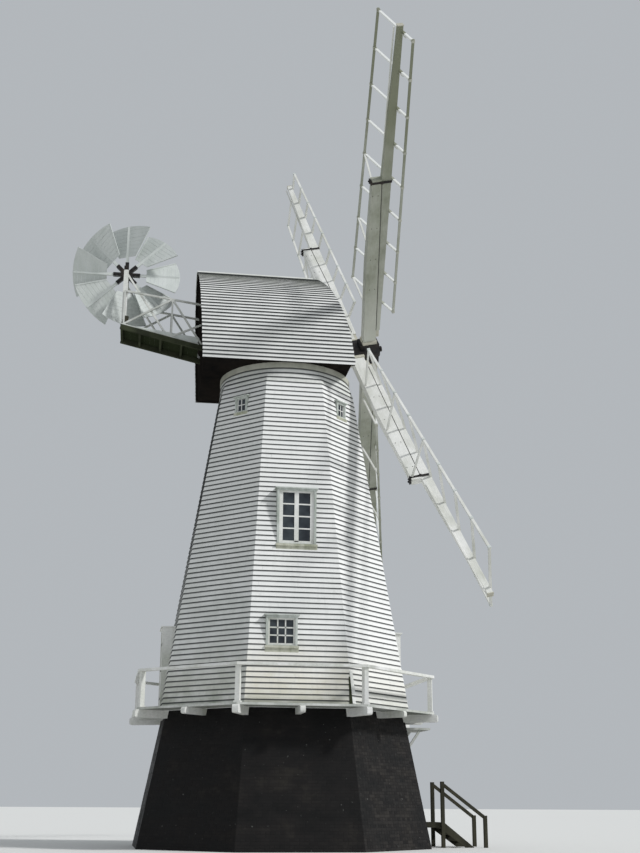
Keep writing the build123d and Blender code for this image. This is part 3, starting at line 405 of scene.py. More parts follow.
# The cap's inside finish is near black: dark timber with painted shade under the cap and on its rear
# end.
painted_wood("cap_inside", (4, 1, 6), (0.018, 0.015, 0.013), (0.008, 0.008, 0.008), 1.0, 0.85,
             gloss=0.0)
painted_wood("bare_timber", (1, 1, 1), (0.3, 0.26, 0.19), (0.17, 0.15, 0.11), 1.0, 0.7)
painted_wood("grey_curb", (1, 1, 6), (0.5, 0.5, 0.43), (0.3, 0.31, 0.25), 1.0, 0.7)
painted_wood("grey_casing", (5, 5, 1), (0.6, 0.63, 0.6), (0.28, 0.32, 0.27), 1.0, 0.6, patch=3.0)
# The sills are mossy; the same grey on the apron boards below them is a painted shadow of the sill.
painted_wood("mossy_sill", (2, 2, 2), (0.56, 0.56, 0.47), (0.2, 0.22, 0.12), 1.0, 0.75, patch=4.0)
# The deck finish's under colour, dark moss green, is painted shade on the boards' undersides.
painted_wood("deck_timber", (2, 2, 2), (0.62, 0.63, 0.6), (0.36, 0.38, 0.34), 1.0, 0.65, gloss=0.0,
             under=(0.024, 0.03, 0.016))
painted_wood("black_iron", (1, 1, 1), (0.02, 0.02, 0.022), (0.06, 0.045, 0.034), 0.6, 0.42, patch=5.0,
             gloss=0.15)
painted_wood("concrete_floor", (1, 1, 1), (0.33, 0.32, 0.3), (0.22, 0.21, 0.19), 0.8, 0.85)
painted_wood("oak_wedge", (3, 3, 3), (0.58, 0.56, 0.47), (0.38, 0.37, 0.3), 0.8, 0.7)

NODE_FINISHES = {
    "concrete_floor": "ground", "bare_timber": "storey shaft_beams", "dark_timber": "entry doors",
    "deck_timber": "door_hood gallery_deck stage_deck stage_rails", "white_boards": "smock_wall",
    "white_timber": "gallery_joists gallery_posts gallery_rail window_sashes door_frames fan_posts",
    "grey_curb": "smock_neck curb", "grey_casing": "window_casings", "window_glass": "window_glass",
    "tarred_brick": "brick", "cap_inside": "cap_", "cap_boards_white": "ridge",
    "mossy_timber": "stage_spars", "fan_paint": "fan_blades",
    "black_iron": "fan_bearings windshaft poll_end stock_clamps striking_rod fan_hub",
    "sail_grey": "stock_outer sail_up_left sail_down_right",
    "sail_white": "stock_inner sail_up_right sail_down_left",
}
for name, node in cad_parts.items():
    node.data.materials.clear()
    for finish, starts in NODE_FINISHES.items():
        if name.startswith(tuple(starts.split())):
            node.data.materials.append(finishes[finish])
print("finishes:", len(finishes))

# %% [markdown]
# ## The tower's plan
# The tower is an octagon whose walls lean inwards. A board on a wall is a range along, a range up
# and two distances out. Its mitred ends could be cut with a Boolean, but it is simpler to clip the
# range along at the octagon's corner line.

# %% Walls of the octagon
EIGHTH = pi / 4
HALF_CORNER = tan(EIGHTH / 2)
FLAT = cos(EIGHTH / 2)
SIDE_NAMES = ("right", "rear_right", "rear", "rear_left", "left", "front_left", "front", "front_right")
REAR, LEFT, FRONT_LEFT, FRONT = 2, 4, 5, 6
DECK = 3.3
DECK_UNDERSIDE = 3.245
SMOCK_HEIGHT = 8.6
SMOCK_TOP = DECK + SMOCK_HEIGHT
SMOCK_RADIUS, SMOCK_LEAN = 3.4, 0.16886
BASE_RADIUS, BASE_NARROWS = 3.93, 0.66


def smock_distance(height):
    """The smock wall's distance from the axis: it falls evenly with height."""
    return FLAT * (SMOCK_RADIUS - SMOCK_LEAN * (height - DECK))


def base_distance(height):
    """The brick wall's distance from the axis: it falls evenly from the ground to the deck."""
    return FLAT * (BASE_RADIUS - BASE_NARROWS * height / DECK_UNDERSIDE)


def on_wall(side, distance, along, height):
    """Points at a distance from the axis, so far along wall number side, at a height."""
    c, s = cos(side * EIGHTH), sin(side * EIGHTH)
    return xyz(distance * c - along * s, distance * s + along * c, height)


def wall_boards(side, wall, left, right, low, high, proud_low, proud_high, back=0.0):
    """Boards on one wall from left to right along it, cut to the corner line where they pass it, and
    from low to high, proud_low out at the foot and proud_high at the top."""
    def place(along, height, push):
        distance = wall(height) + push
        limit = distance * HALF_CORNER
        return on_wall(side, distance, np.clip(along, -limit, limit), height)

    return lapped_boards((left, right), (low, proud_low), (high, proud_high), back, place)


def wall_boxes(side, along, distance, height):
    """Upright blocks before a wall from (n, 2) ranges along, out and up, or one pair for all."""
    along, distance, height = (np.atleast_2d(v).astype(float) for v in (along, distance, height))
    return on_wall(side, distance[:, None, None, :], along[:, :, None, None], height[:, None, :, None])


# %% [markdown]
# ## Weatherboards on the smock
# Each board overlaps the one below it: its foot stands out by its own thickness and its top edge
# tucks under the next. A bump could draw the laps, but only real steps throw the thin shadows that
# show from the ground. The boards show about 133 mm, stop at the casings, and many are pieced with
# a butt joint. A little chance in each foot keeps the lines from looking ruled.

# %% Openings in the smock: side, along, sill above the deck, width, height
TALL, SMALL, DOORWAY = (0.0, 3.98, 1.01, 1.48), (0.0, 7.78, 0.41, 0.45), (0.0, 0.0, 0.9, 2.12)
OPENINGS = [(4, *TALL), (4, -0.4, 1.38, 0.78, 0.77), (0, *TALL), (0, 0.4, 1.38, 0.78, 0.77),
            (1, *SMALL), (3, *SMALL), (5, *SMALL), (7, *SMALL), (2, *DOORWAY), (6, *DOORWAY)]
WINDOWS, TOP_WINDOWS = OPENINGS[:8], OPENINGS[4:8]
HOOD = 0.028
BOARD_SHOWS = 0.133
FOOT_PROUD, TOP_PROUD = 0.026, 0.006
TUCK = 0.01
SAG = 0.004
PAST_CORNER = 2.0
PIECED_SHARE, JOINT_GAP = 0.45, 0.003
SHORTEST = 0.02
MOSS_ON_SIDE = (0.1, 0.3, 0.55, 0.42, 0.05, 0.0, 0.0, 0.05)


def course_pieces(side, low, high):
    """Split each course of boards round the openings of its side, as rows of a piece's left, right,
    low and high, and its course's low and high."""
    rows = []
    for foot, top in zip(low, high):
        spans = [(-PAST_CORNER, PAST_CORNER, foot, top)]
        if chance.random() < PIECED_SHARE:
            joint = chance.uniform(-0.9, 0.9) * (1.3 - 0.6 * (foot - DECK) / SMOCK_HEIGHT)
            spans = [(-PAST_CORNER, joint - JOINT_GAP / 2, foot, top),
                     (joint + JOINT_GAP / 2, PAST_CORNER, foot, top)]
        for place, along, sill, width, height in OPENINGS:
            start, end = DECK + sill, DECK + sill + height + HOOD
            if place != side or end <= foot or start >= top:
                continue
            a, b = along - width / 2, along + width / 2
            cut = []
            for left, right, z0, z1 in spans:
                near, far = max(left, a), min(right, b)
                cut += [(left, min(right, a), z0, z1), (max(left, b), right, z0, z1),
                        (near, far, z0, start), (near, far, end, z1)]
            spans = [span for span in cut if span[1] - span[0] > SHORTEST and span[3] > span[2]]
        rows += [(*span, foot, top) for span in spans]
    return np.array(rows)


def weatherboards(side):
    """All boards of one smock wall; a cut board keeps the slope of its whole course."""
    count = round(SMOCK_HEIGHT / BOARD_SHOWS)
    edges = DECK + SMOCK_HEIGHT * np.arange(count + 1) / count
    left, right, low, high, foot, top = course_pieces(side, edges[:-1], edges[1:]).T
    shares = (low - foot) / (top - foot), (high - foot) / (top - foot)
    proud = [FOOT_PROUD + (TOP_PROUD - FOOT_PROUD) * share for share in shares]
    corners = wall_boards(side, smock_distance, left, right, low, high + (high == top) * TUCK, *proud)
    sag = chance.uniform(-SAG, 0.0, (len(left), 2)) * (low == foot)[:, None]
    corners[:, :, 0, :, 2] += sag[:, :, None]
    return corners, shares


def smock_moss(side, height):
    """Moss is thickest low on the walls that get little sun, and thins out upwards."""
    share = (height - DECK) / SMOCK_HEIGHT
    return MOSS_ON_SIDE[side] * (0.3 + 0.7 * (1 - share) ** 2) + 0.5 * np.exp(-share * 40)


def smock_cream(side, height):
    """The paint has yellowed low on the sunny side."""
    return (0.55 if side == LEFT else 0.2) * np.clip(1 - (height - DECK - 0.5) / 1.2, 0, 1)


# lap marks the painted shade under the next board's lap and on each foot's underside.
for side, name in enumerate(SIDE_NAMES):
    corners, shares = weatherboards(side)
    height = corners[:, 0, 0, 0, 2]
    put_boards("weatherboards_" + name, "tower", corners, "white_boards",
               lap=(*shares, FOOT_FACE, 1.0), tone=chance.random(len(corners)),
               moss=smock_moss(side, height), cream=smock_cream(side, height))

# %% [markdown]
# ## The neck
# Above the smock the octagon turns into the circle that the cap runs on. Three courses of thin
# boards follow a radius that is a mix of the two, which is one formula where a loft would need many
# sections.

# %% Neck boards
NECK_TOP = 12.3
CURB_RADIUS = 1.8
NECK_STEPS, NECK_COURSES = 96, 3
NECK_FOOT_PROUD, NECK_TOP_PROUD, NECK_BACK = 0.024, 0.01, -0.02


def neck_place(angle, height, push):
    """The octagon's radius at an angle, blended into the circle's by height, and push."""
    from_flat = (angle + EIGHTH / 2) % EIGHTH - EIGHTH / 2
    octagon = smock_distance(SMOCK_TOP) / np.cos(from_flat)
    share = (height - SMOCK_TOP) / (NECK_TOP - SMOCK_TOP)
    radius = octagon + (CURB_RADIUS - octagon) * share + push
    return xyz(radius * np.cos(angle), radius * np.sin(angle), height)


step = 2 * pi / NECK_STEPS
angle = step * np.arange(NECK_STEPS)
corners = join([
    lapped_boards((angle, angle + step), (low, NECK_FOOT_PROUD), (low + BOARD_SHOWS, NECK_TOP_PROUD),
                  NECK_BACK, neck_place)
    for low in SMOCK_TOP + BOARD_SHOWS * np.arange(NECK_COURSES)])
# The lap mark paints shade under each neck course's lap.
put_boards("neck_boards", "tower", corners, "white_boards", lap=(0.0, 1.0, FOOT_FACE, 1.0), tone=0.3,
           moss=0.35)

# %% [markdown]
# ## Bricks on the base
# The base is built in English bond, a course of long faces over a course of ends. A brick shows 215
# by 65 mm with a 10 mm joint. The Brick Texture could draw them, but edges that catch the light
# show better on black tar, so each is a low frustum on the wall, which is the joint.

# %% Bricks
BRICK_LONG, BRICK_END, BRICK_HIGH, JOINT = 0.215, 0.1025, 0.065, 0.01
BRICK_PROUD, BRICK_UNEVEN = 0.003, 0.001
BRICK_EDGE = 0.004
DOOR_LEFT, DOOR_RIGHT, DOOR_FOOT, DOOR_TOP = -0.55, 0.55, 0.62, 2.55


def bricks(side):
    """One wall's bricks, whose faces are BRICK_EDGE smaller all round than their backs."""
    rows = []
    for index in range(int(DECK_UNDERSIDE / (BRICK_HIGH + JOINT))):
        low = index * (BRICK_HIGH + JOINT) + JOINT / 2
        length = BRICK_END if index % 2 else BRICK_LONG
        limit = base_distance(low + BRICK_HIGH) * HALF_CORNER
        starts = np.arange(-limit - (index % 4 == 2) * length / 2, limit, length + JOINT)
        left, right = np.maximum(starts, -limit), np.minimum(starts + length, limit)
        keep = right - left > 3 * BRICK_EDGE
        if side == FRONT and low < DOOR_TOP and low + BRICK_HIGH > DOOR_FOOT:
            keep &= (right < DOOR_LEFT) | (left > DOOR_RIGHT)
        rows.append(xyz(left[keep], right[keep], low))
    left, right, low = join(rows).T
    high = low + BRICK_HIGH
    proud = BRICK_PROUD + chance.uniform(-BRICK_UNEVEN, BRICK_UNEVEN, len(left))
    corners = wall_boards(side, base_distance, left, right, low, high, proud, proud)
    face = wall_boards(side, base_distance, left + BRICK_EDGE, right - BRICK_EDGE, low + BRICK_EDGE,
                       high - BRICK_EDGE, proud, proud)
    corners[:, :, :, 1] = face[:, :, :, 1]
    return corners


# Bricks on the front-left face get more of the paler brown as painted sunlight; elsewhere it is dust.
for side, name in enumerate(SIDE_NAMES):
    corners = bricks(side)
    put_boards("bricks_" + name, "tower", corners, "tarred_brick",
               tone=(0.6 if side == FRONT_LEFT else 0.15) * chance.random(len(corners)))

# %% [markdown]
# ## Gallery boards
# The gallery's floor is four boards a side with open joints, cut to meet on the corners, in place
# of the plain slab. An Array modifier could repeat a board, but each one outwards is longer, so all
# ends follow the corner lines. Each rail post stands on a small block.

# %% Gallery boards and post blocks
DECK_JOINT = 0.016
DECK_EDGE = 4.06 * FLAT
POST_DISTANCE, BLOCK_HALF, BLOCK_DEEP, BLOCK_HIGH = 3.96, 0.085, 0.075, 0.035
WALL_EDGE = smock_distance(DECK) + FOOT_PROUD


def deck_boards(side):
    """Board k of a side runs from k to k + 1 widths out from the wall, up to the corner lines."""
    edges = WALL_EDGE + (DECK_EDGE - WALL_EDGE) / 4 * np.arange(5)
    return board_corners((-1, 1), (DECK_UNDERSIDE, DECK), (edges[:-1] + DECK_JOINT, edges[1:]),
                         lambda end, height, distance: on_wall(
                             side, distance, end * (distance * HALF_CORNER - DECK_JOINT / 4), height))


# Each gallery board's underside is marked, so the deck finish paints it dark as shade.
corners = join([deck_boards(side) for side in range(8)])
gallery_boards = put_boards("gallery_boards", "tower", corners, "deck_timber", "white_timber",
                            under=(0.0, 0.0, FOOT_FACE, 0.6))
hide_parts("gallery_deck")

blocks = join([wall_boxes(side + 0.5, BLOCK_HALF * HANDS, POST_DISTANCE + BLOCK_DEEP * HANDS,
                          (DECK, DECK + BLOCK_HIGH)) for side in range(8)])
put_boards("post_blocks", "tower", blocks, "white_timber")

# %% [markdown]
# ## Windows
# The tall windows are pairs of casements, each one pane wide and four high. The low ones have three
# panes by three and the small ones two by two, whose glass covers the sash's inner edge. The panes
# could be cut out of a sheet, but a bar needs only its ranges, so one function makes every window.
# Where the smock has lost boards at a corner, a short board is nailed over it, beside a dark
# strip that is painted shade in the gap.

# %% Glazing bars, stiles, sills and the mended corner
CASING = 0.055
CASING_PROUD = 0.02
SASH_SETBACK = 0.04
SASH = 0.1
TOP_PANE_HALF, TOP_PANE_INSET = 0.112, 0.068
POST_HALF, TALL_HALF, STILE_EDGE = 0.056, 0.352, 0.41
TALL_FOOT, TALL_HEAD = 0.13, 0.082
SILL_PAST = 0.025
SILL_BACK, APRON_PROUD = -0.02, 0.036


def window_wood(width, height):
    """The bars of one window as (left, right, low, high) from its middle and its sill."""
    if width > 1:
        half, low, high = TALL_HALF, TALL_FOOT, height - TALL_HEAD
        rows = [(left, right, SASH, height - SASH) for left, right in
                ((-POST_HALF, POST_HALF), (-STILE_EDGE, -half), (half, STILE_EDGE))]
        rows += [(-half, half, SASH, low), (-half, half, high, height - CASING)]
        panes = [(-half, -POST_HALF), (POST_HALF, half)]
        thick, across, up = 0.017, 1, 4
    else:
        half, low = (width / 2 - SASH, SASH) if width > 0.5 else (TOP_PANE_HALF, TOP_PANE_INSET)
        rows, panes, high = [], [(-half, half)], height - low
        thick, across, up = (0.016, 3, 3) if width > 0.5 else (0.011, 2, 2)
    for start, end in panes:
        step, rise = (end - start) / across, (high - low) / up
        rows += [(x - thick, x + thick, low, high) for x in start + step * np.arange(1, across)]
        rows += [(start, end, z - thick, z + thick) for z in low + rise * np.arange(1, up)]
    return np.array(rows)


def sash_front(sill):
    """The distance of a sash's front from the axis, for an opening with its foot at sill."""
    return smock_distance(DECK + sill) + CASING_PROUD - SASH_SETBACK


def window_bars(side, along, sill, width, height):
    rows = window_wood(width, height)
    reach = np.array((-0.04, -0.006) if width > 0.5 else (0.004, 0.012))
    return wall_boxes(side, along + rows[:, :2], sash_front(sill) + reach, DECK + sill + rows[:, 2:])


def top_pane(side, along, sill, width, height):
    return wall_boxes(side, along + TOP_PANE_HALF * HANDS, sash_front(sill) + np.array([0.001, 0.005]),
                      (DECK + sill + TOP_PANE_INSET, DECK + sill + height - TOP_PANE_INSET))


def window_sill(side, along, sill, width, height):
    """A sill under a window, with an apron board below it, grey as a painted shadow of the sill."""
    out, thick, drop = (0.075, 0.055, 0.1) if width > 0.5 else (0.045, 0.03, 0.05)
    face, foot = smock_distance(DECK + sill), DECK + sill - thick * 0.4
    ends, back = along + (width / 2 + SILL_PAST) * HANDS, face + SILL_BACK
    return wall_boxes(side, ends, [(back, face + out), (back, face + APRON_PROUD)],
                      [(foot, foot + thick), (foot - drop, foot)])


def by_corner(side, hand, left, right, low, high, proud):
    """Boards at a side's corner on one hand: left and right are measured from the corner."""
    low, high = DECK + np.array(low), DECK + np.array(high)
    corner = hand * smock_distance((low + high) / 2) * HALF_CORNER
    return wall_boards(side, smock_distance, corner + left, corner + right, low, high, proud,
                       proud - 0.004)


strip = by_corner(FRONT_LEFT, -1, -1, 0.115, [0.3, 0.06], [0.84, 0.2], 0.04)
# The gap is a dark board that stands for the shade beside the corner strip.
gap = by_corner(LEFT, 1, -0.045, 1, [0.05], [0.7], 0.031)
bars, panes, sills = (join([make(*row) for row in windows]) for make, windows in (
    (window_bars, WINDOWS), (top_pane, TOP_WINDOWS), (window_sill, WINDOWS)))
put_boards("glazing_bars", "tower", bars, "white_timber")
put_boards("top_panes", "tower", panes, "window_glass")
put_boards("corner_strip", "tower", strip, "white_timber")
put_boards("corner_gap", "tower", gap, "mossy_timber", "dark_timber")
put_boards("window_sills", "tower", sills, "mossy_sill", "white_timber")

# %% [markdown]
# ## Doors
# Each door is upright planks with narrow joints, two long iron hinges and a round handle. The
# joints could be lines in the paint, but separate planks show them from any angle. One loop makes
# all the doors, because they differ only in the numbers of a short table.

# %% Door planks, hinges and handles
PLANK_GAP, PLANK_THICK = 0.006, 0.018
HINGE_THICK, HINGE_HALF = 0.008, 0.022
GALLERY_DOOR = (sash_front(0.0), 0.79, 5, (DECK + 0.055, DECK + 2.065), (DECK + 0.35, DECK + 1.75),
                (0.31, DECK + 1.02))
DOORS = ((FRONT, base_distance(DOOR_TOP) - 0.04, 0.99, 6, (0.675, 2.495), (0.95, 2.2), (0.4, 1.62)),
         (REAR, *GALLERY_DOOR), (FRONT, *GALLERY_DOOR))
planks, hinges, knobs, ways = [], [], [], []
for side, back, width, count, height, levels, knob in DOORS:
    face, step = back + PLANK_THICK, width / count
    ends = step * np.arange(count)[:, None] - width / 2 + (PLANK_GAP / 2, step - PLANK_GAP / 2)
    planks.append(wall_boxes(side, ends, (back, face), height))
    hinges.append(wall_boxes(side, (0.01 - width / 2, width / 2 - 0.2), (face, face + HINGE_THICK),
                             np.array(levels)[:, None] + HINGE_HALF * HANDS))
    knobs.append(on_wall(side, face, *knob))
    ways.append(on_wall(side, 1.0, 0.0, 0.0))
put_boards("entrance_planks", "tower", planks[0], "dark_timber")
put_boards("gallery_door_planks", "tower", join(planks[1:]), "white_timber")
put_boards("door_hinges", "tower", join(hinges), "black_iron")
put_bolts("door_knobs", "tower", knobs, ways, 0.03, 0.045)

# %% [markdown]
# ## The cap's boards
# The cap's roof is boarded lengthwise. Its section is an upright side and one arc up to the ridge.
# Flat boards could be bent over it with a modifier, but their corners lie exactly on the section
# when they are worked out there. The boards differ in length, and each one is cut square, which
# leaves the verge's stepped edge.

# %% Roof boards
CAP_HALF = 1.96
EAVE = 12.4203
SPRING = EAVE + 0.64
ARC = 2.748
RIDGE = SPRING + sqrt(ARC ** 2 - (CAP_HALF - ARC) ** 2)
CAP_RISE = RIDGE - EAVE
REAR_AT_EAVE, REAR_AT_RIDGE = 2.42, 2.59
FRONT_AT_EAVE, FRONT_AT_RIDGE = -1.68, -0.77
FRONT_BULGE = 0.125
CAP_BOARD_SHOWS, CAP_BOARD_PROUD, CAP_BOARD_TOP = 0.113, 0.024, 0.006
VERGE_PROUD, VERGE_UNEVEN, CAP_SAG = 0.012, 0.008, 0.003


def roof_section(travel, lift):
    """The section's x and z so far up from the eave, pushed out by lift."""
    angle = np.maximum(travel - (SPRING - EAVE), 0) / ARC
    x = CAP_HALF - ARC + (ARC + lift) * np.cos(angle)
    return x, EAVE + np.minimum(travel, SPRING - EAVE) + (ARC + lift) * np.sin(angle)


def cap_front(height):
    """The front edge: an arc through its ends at the eave and the ridge that bulges forward."""
    run = FRONT_AT_RIDGE - FRONT_AT_EAVE
    chord = hypot(run, CAP_RISE)
    radius = chord ** 2 / FRONT_BULGE / 8 + FRONT_BULGE / 2
    away = radius - FRONT_BULGE
    centre_y = (FRONT_AT_EAVE + FRONT_AT_RIDGE) / 2 + away * CAP_RISE / chord
    centre_z = (EAVE + RIDGE) / 2 - away * run / chord
    return centre_y - np.sqrt(radius ** 2 - (height - centre_z) ** 2)


def cap_rear(height):
    """The rear edge leans back evenly from the eave to the ridge."""
    return np.interp(height, [EAVE, RIDGE], [REAR_AT_EAVE, REAR_AT_RIDGE])


def roof_boards(hand):
    """Boards laid from eave to ridge on one hand, and how far up the roof each one's foot is."""
    total = SPRING - EAVE + ARC * acos((ARC - CAP_HALF) / ARC)
    count = round(total / CAP_BOARD_SHOWS)
    edges = total * np.arange(count + 1) / count
    low_z = roof_section(edges[:-1], 0.0)[1]
    front = cap_front(low_z) - VERGE_PROUD - chance.uniform(0, VERGE_UNEVEN, count)
    rear = cap_rear(low_z) + VERGE_PROUD + chance.uniform(0, VERGE_UNEVEN, count)

    def place(y, travel, push):
        x, z = roof_section(travel, push)
        return xyz(hand * np.maximum(x, 0), y, z)

    corners = lapped_boards((front, rear)[::hand], (edges[:-1], CAP_BOARD_PROUD),
                            (edges[1:], CAP_BOARD_TOP), 0.0, place)
    corners[:, :, 0, :, 2] += chance.uniform(-CAP_SAG, 0.0, (count, 2))[:, :, None]
    return corners, edges[:-1] / total


# The lap mark paints shade under each roof board's lap, fainter near the ridge.
for hand, name in ((1, "right"), (-1, "left")):
    corners, share = roof_boards(hand)
    put_boards("cap_boards_" + name, "cap", turned(corners), "cap_boards_white", "white_boards",
               lap=(0.0, np.interp(share, [0.66, 0.86], [1.0, 0.55]), FOOT_FACE, 1.0),
               tone=chance.random(len(corners)), moss=np.interp(share, [0.6, 0.86], [0.08, 1.0]))

# %% [markdown]
# ## The cap's end walls
# The front end wall is boarded across, round the hole for the windshaft, and painted. The rear one
# is upright boards, near black as dark timber with painted shade. A Boolean could cut them to the
# roof and the hole, but a length worked out for each board leaves clean ends.

# %% End walls
SHAFT_HOLE, HOLE_CLEAR = 0.24, 0.02
SET_BACK = 0.07
SKIN, SKIN_CLEAR = 0.06, 0.004
PLANK_STEP, PLANK_WIDE, PLANK_REACH = 0.155, 0.149, 1.86


def inside_half_width(height):
    """Half the clear width between the cap's two skins at a height."""
    rise = np.maximum(height - SPRING, 0)
    return CAP_HALF - ARC + np.sqrt(np.maximum((ARC - SKIN) ** 2 - rise ** 2, 0))


def front_wall_boards():
    """Lapped boards across the front wall, in two lengths where the windshaft passes."""
    edges = np.arange(EAVE + 0.11, RIDGE - 0.16, BOARD_SHOWS)
    rows = []
    for low, high in zip(edges[:-1], edges[1:]):
        reach = float(inside_half_width(high)) - SKIN_CLEAR
        middle = (low + high) / 2
        shaft = HUB[2] - (cap_front(middle) - HUB[1]) * tan(SHAFT_TILT)
        miss = SHAFT_HOLE ** 2 - (middle - shaft) ** 2
        gap = sqrt(miss) + HOLE_CLEAR if miss > 0 else 0
        spans = [(-reach, -gap), (gap, reach)] if gap else [(-reach, reach)]
        rows += [(*span, low, high) for span in spans]
    left, right, low, high = np.array(rows).T
    return lapped_boards((left, right), (low, FOOT_PROUD), (high, TOP_PROUD), -0.01,
                         lambda x, z, push: xyz(x, cap_front(z) + SET_BACK - push, z))


def rear_wall_planks():
    """Upright planks on the rear wall, each cut where its outer edge meets the roof's skin."""
    left = np.arange(-PLANK_REACH, PLANK_REACH, PLANK_STEP)
    right = left + PLANK_WIDE
    levels = np.linspace(EAVE + 0.1, RIDGE - 0.08, 200)
    fits = inside_half_width(levels)[None] > np.maximum(np.abs(left), np.abs(right))[:, None]
    return board_corners((right, left), (EAVE + 0.035, levels[fits.sum(axis=1) - 1]), (-0.01, 0.014),
                         lambda x, z, push: xyz(x, cap_rear(z) - SET_BACK + push, z))


# The lap mark paints shade under each front wall board's lap.
corners = front_wall_boards()
put_boards("front_wall_boards", "cap", turned(corners), "white_boards", lap=(0.0, 1.0, FOOT_FACE, 1.0),
           tone=chance.random(len(corners)))
put_boards("rear_wall_planks", "cap", turned(rear_wall_planks()), "cap_inside", "dark_timber")

# %% [markdown]
# ## The fan stage
# Boards across two sloping timbers make the stage, in place of the plain plate, over four joists
# and with a kerb along each side. A dark block holds each fan post's foot. All are laid out level
# and then tilted together, because level places are easier to read.

# %% Stage boards, kerbs, joists and post shoes
STAGE_TILT = radians(12.6)
STAGE_REAR, STAGE_REAR_LEVEL = 4.68, 13.795
STAGE_HALF, STAGE_BOARD, STAGE_STEP = 0.6, 0.032, 0.14
JOIST_HALF = 0.508
JOIST_STARTS = np.array([0.03, 0.55, 1.15, 1.75])


def on_stage(corners):
    """Boards given as (x, in from the stage's rear along its slope, square to it). Those axes are
    left-handed, so across is turned round."""
    x, inward, up = np.moveaxis(corners[:, ::-1], -1, 0)
    c, s = cos(STAGE_TILT), sin(STAGE_TILT)
    return turned(xyz(x, STAGE_REAR - inward * c - up * s, STAGE_REAR_LEVEL - inward * s + up * c))


wobble = chance.uniform(-0.006, 0.006, (16, 2))
start = 0.004 + STAGE_STEP * np.arange(16)
boards = boxes(xyz(0.008 - STAGE_HALF + wobble[:, 0], start, -STAGE_BOARD),
               xyz(STAGE_HALF - 0.008 + wobble[:, 1], start + STAGE_STEP - 0.0005, 0.0))
# Each stage board's underside is marked, so the deck finish paints it dark as shade.
stage = put_boards("stage_boards", "cap", on_stage(boards), "deck_timber", "white_timber",
                   under=(0.0, 0.0, BACK_FACE, 1.0))
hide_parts("stage_deck")
kerbs = boxes(xyz(HANDS * 0.545 - 0.015, 0.45, 0.0), xyz(HANDS * 0.545 + 0.015, 2.2, 0.19))
kerbs[:, :, 0, 1, 2] = 0.03
put_boards("stage_kerbs", "cap", on_stage(kerbs), "fan_paint", "white_timber")
joists = boxes(xyz(-JOIST_HALF, JOIST_STARTS, -STAGE_BOARD - 0.1),
               xyz(JOIST_HALF, JOIST_STARTS + 0.06, -STAGE_BOARD - 0.001))
put_boards("stage_joists", "cap", on_stage(joists), "mossy_timber", "dark_timber")
shoes = boxes(xyz(HANDS * 0.47 - 0.075, 0.02, 0.001), xyz(HANDS * 0.47 + 0.075, 0.16, 0.26))
put_boards("post_shoes", "cap", on_stage(shoes), "dark_timber")

# %% [markdown]
# ## The fantail
# Each blade is short boards nailed across a spar, with the outer end cut to an arc and a lath along
# both edges. It could be modelled in its place, but it is simpler flat, with its radius along x,
# its width along y and the spindle along z. Then it is pitched about its spar like a screw's blade
# and turned to its place.

# %% Fan blades
FAN_CENTRE = np.array([0.0, 4.6, 15.5])
BLADES = 8
BLADE_PITCH = radians(30)
BLADE_INNER, BLADE_OUTER = 0.56, 1.52
INNER_HALF, OUTER_HALF = 0.28, 0.715
BLADE_CORNER = sqrt(BLADE_OUTER ** 2 - (OUTER_HALF * cos(BLADE_PITCH)) ** 2)
BLADE_FACES = (-0.009, 0.009)
BLADE_JOINT = 0.004
SLICES = 8
LATH_LIFT = 0.016


def on_fan(points, index, pitch=0.0):
    """Turn about the spar by the pitch, then about the spindle by an eighth of a turn per blade."""
    r, w, t = np.moveaxis(np.asarray(points, dtype=float), -1, 0)
    w, t = w * cos(pitch) + t * sin(pitch), t * cos(pitch) - w * sin(pitch)
    c, s = cos(index * EIGHTH), sin(index * EIGHTH)
    return turned(xyz(-t, FAN_CENTRE[1] - r * c + w * s, FAN_CENTRE[2] + r * s + w * c))


def half_width(radius):
    return np.interp(radius, [BLADE_INNER, BLADE_CORNER], [INNER_HALF, OUTER_HALF])


def blade_end(width):
    """The radius of the arched outer edge at a place across the blade."""
    sweep = (OUTER_HALF ** 2 + (BLADE_OUTER - BLADE_CORNER) ** 2) / 2 / (BLADE_OUTER - BLADE_CORNER)
    return BLADE_OUTER - sweep + np.sqrt(sweep ** 2 - width ** 2)


def blade_boards():
    """Seven boards, an end in slices that make the arc, and a lath on each long edge's back."""
    edges = BLADE_INNER + (BLADE_CORNER - BLADE_INNER) * np.arange(8) / 7
    lift = chance.uniform(-0.0015, 0.0015, 7)
    boards = board_corners((edges[:-1], edges[1:] - BLADE_JOINT), (-1, 1), BLADE_FACES,
                           lambda r, hand, t: xyz(r, hand * half_width(r), t + lift))
    cut = np.linspace(-OUTER_HALF, OUTER_HALF, SLICES + 1)
    tip = board_corners((False, True), (cut[:-1], cut[1:]), BLADE_FACES,
                        lambda outer, w, t: xyz(blade_end(w) if outer else BLADE_CORNER, w, t))
    laths = sticks(xyz(BLADE_INNER, HANDS * (INNER_HALF - 0.016), LATH_LIFT),
                   xyz(BLADE_CORNER, HANDS * (OUTER_HALF - 0.018), LATH_LIFT), 0.03, 0.014, (0, 1, 0))
    return join([boards, tip, laths])


spar = boxes([0.15, -0.04, -0.025], [1.502, 0.04, 0.025])
blades = [on_fan(blade_boards(), i, BLADE_PITCH) for i in range(BLADES)]
blades += [on_fan(spar, i) for i in range(BLADES)]
fan_boards = put_boards("fan_boards", "fantail", join(blades), "fan_paint", "white_timber")
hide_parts("fan_blades")

places = np.array([(reach, 0, hand * 0.045) for reach in (0.22, 0.33) for hand in (-1, 1)])
bolts = join([on_fan(places, i) for i in range(BLADES)])
ways = turned(xyz(-np.tile(places[:, 2], BLADES), 0.0, 0.0))
put_bolts("fan_hub_bolts", "fantail", bolts, ways, 0.016, 0.014)

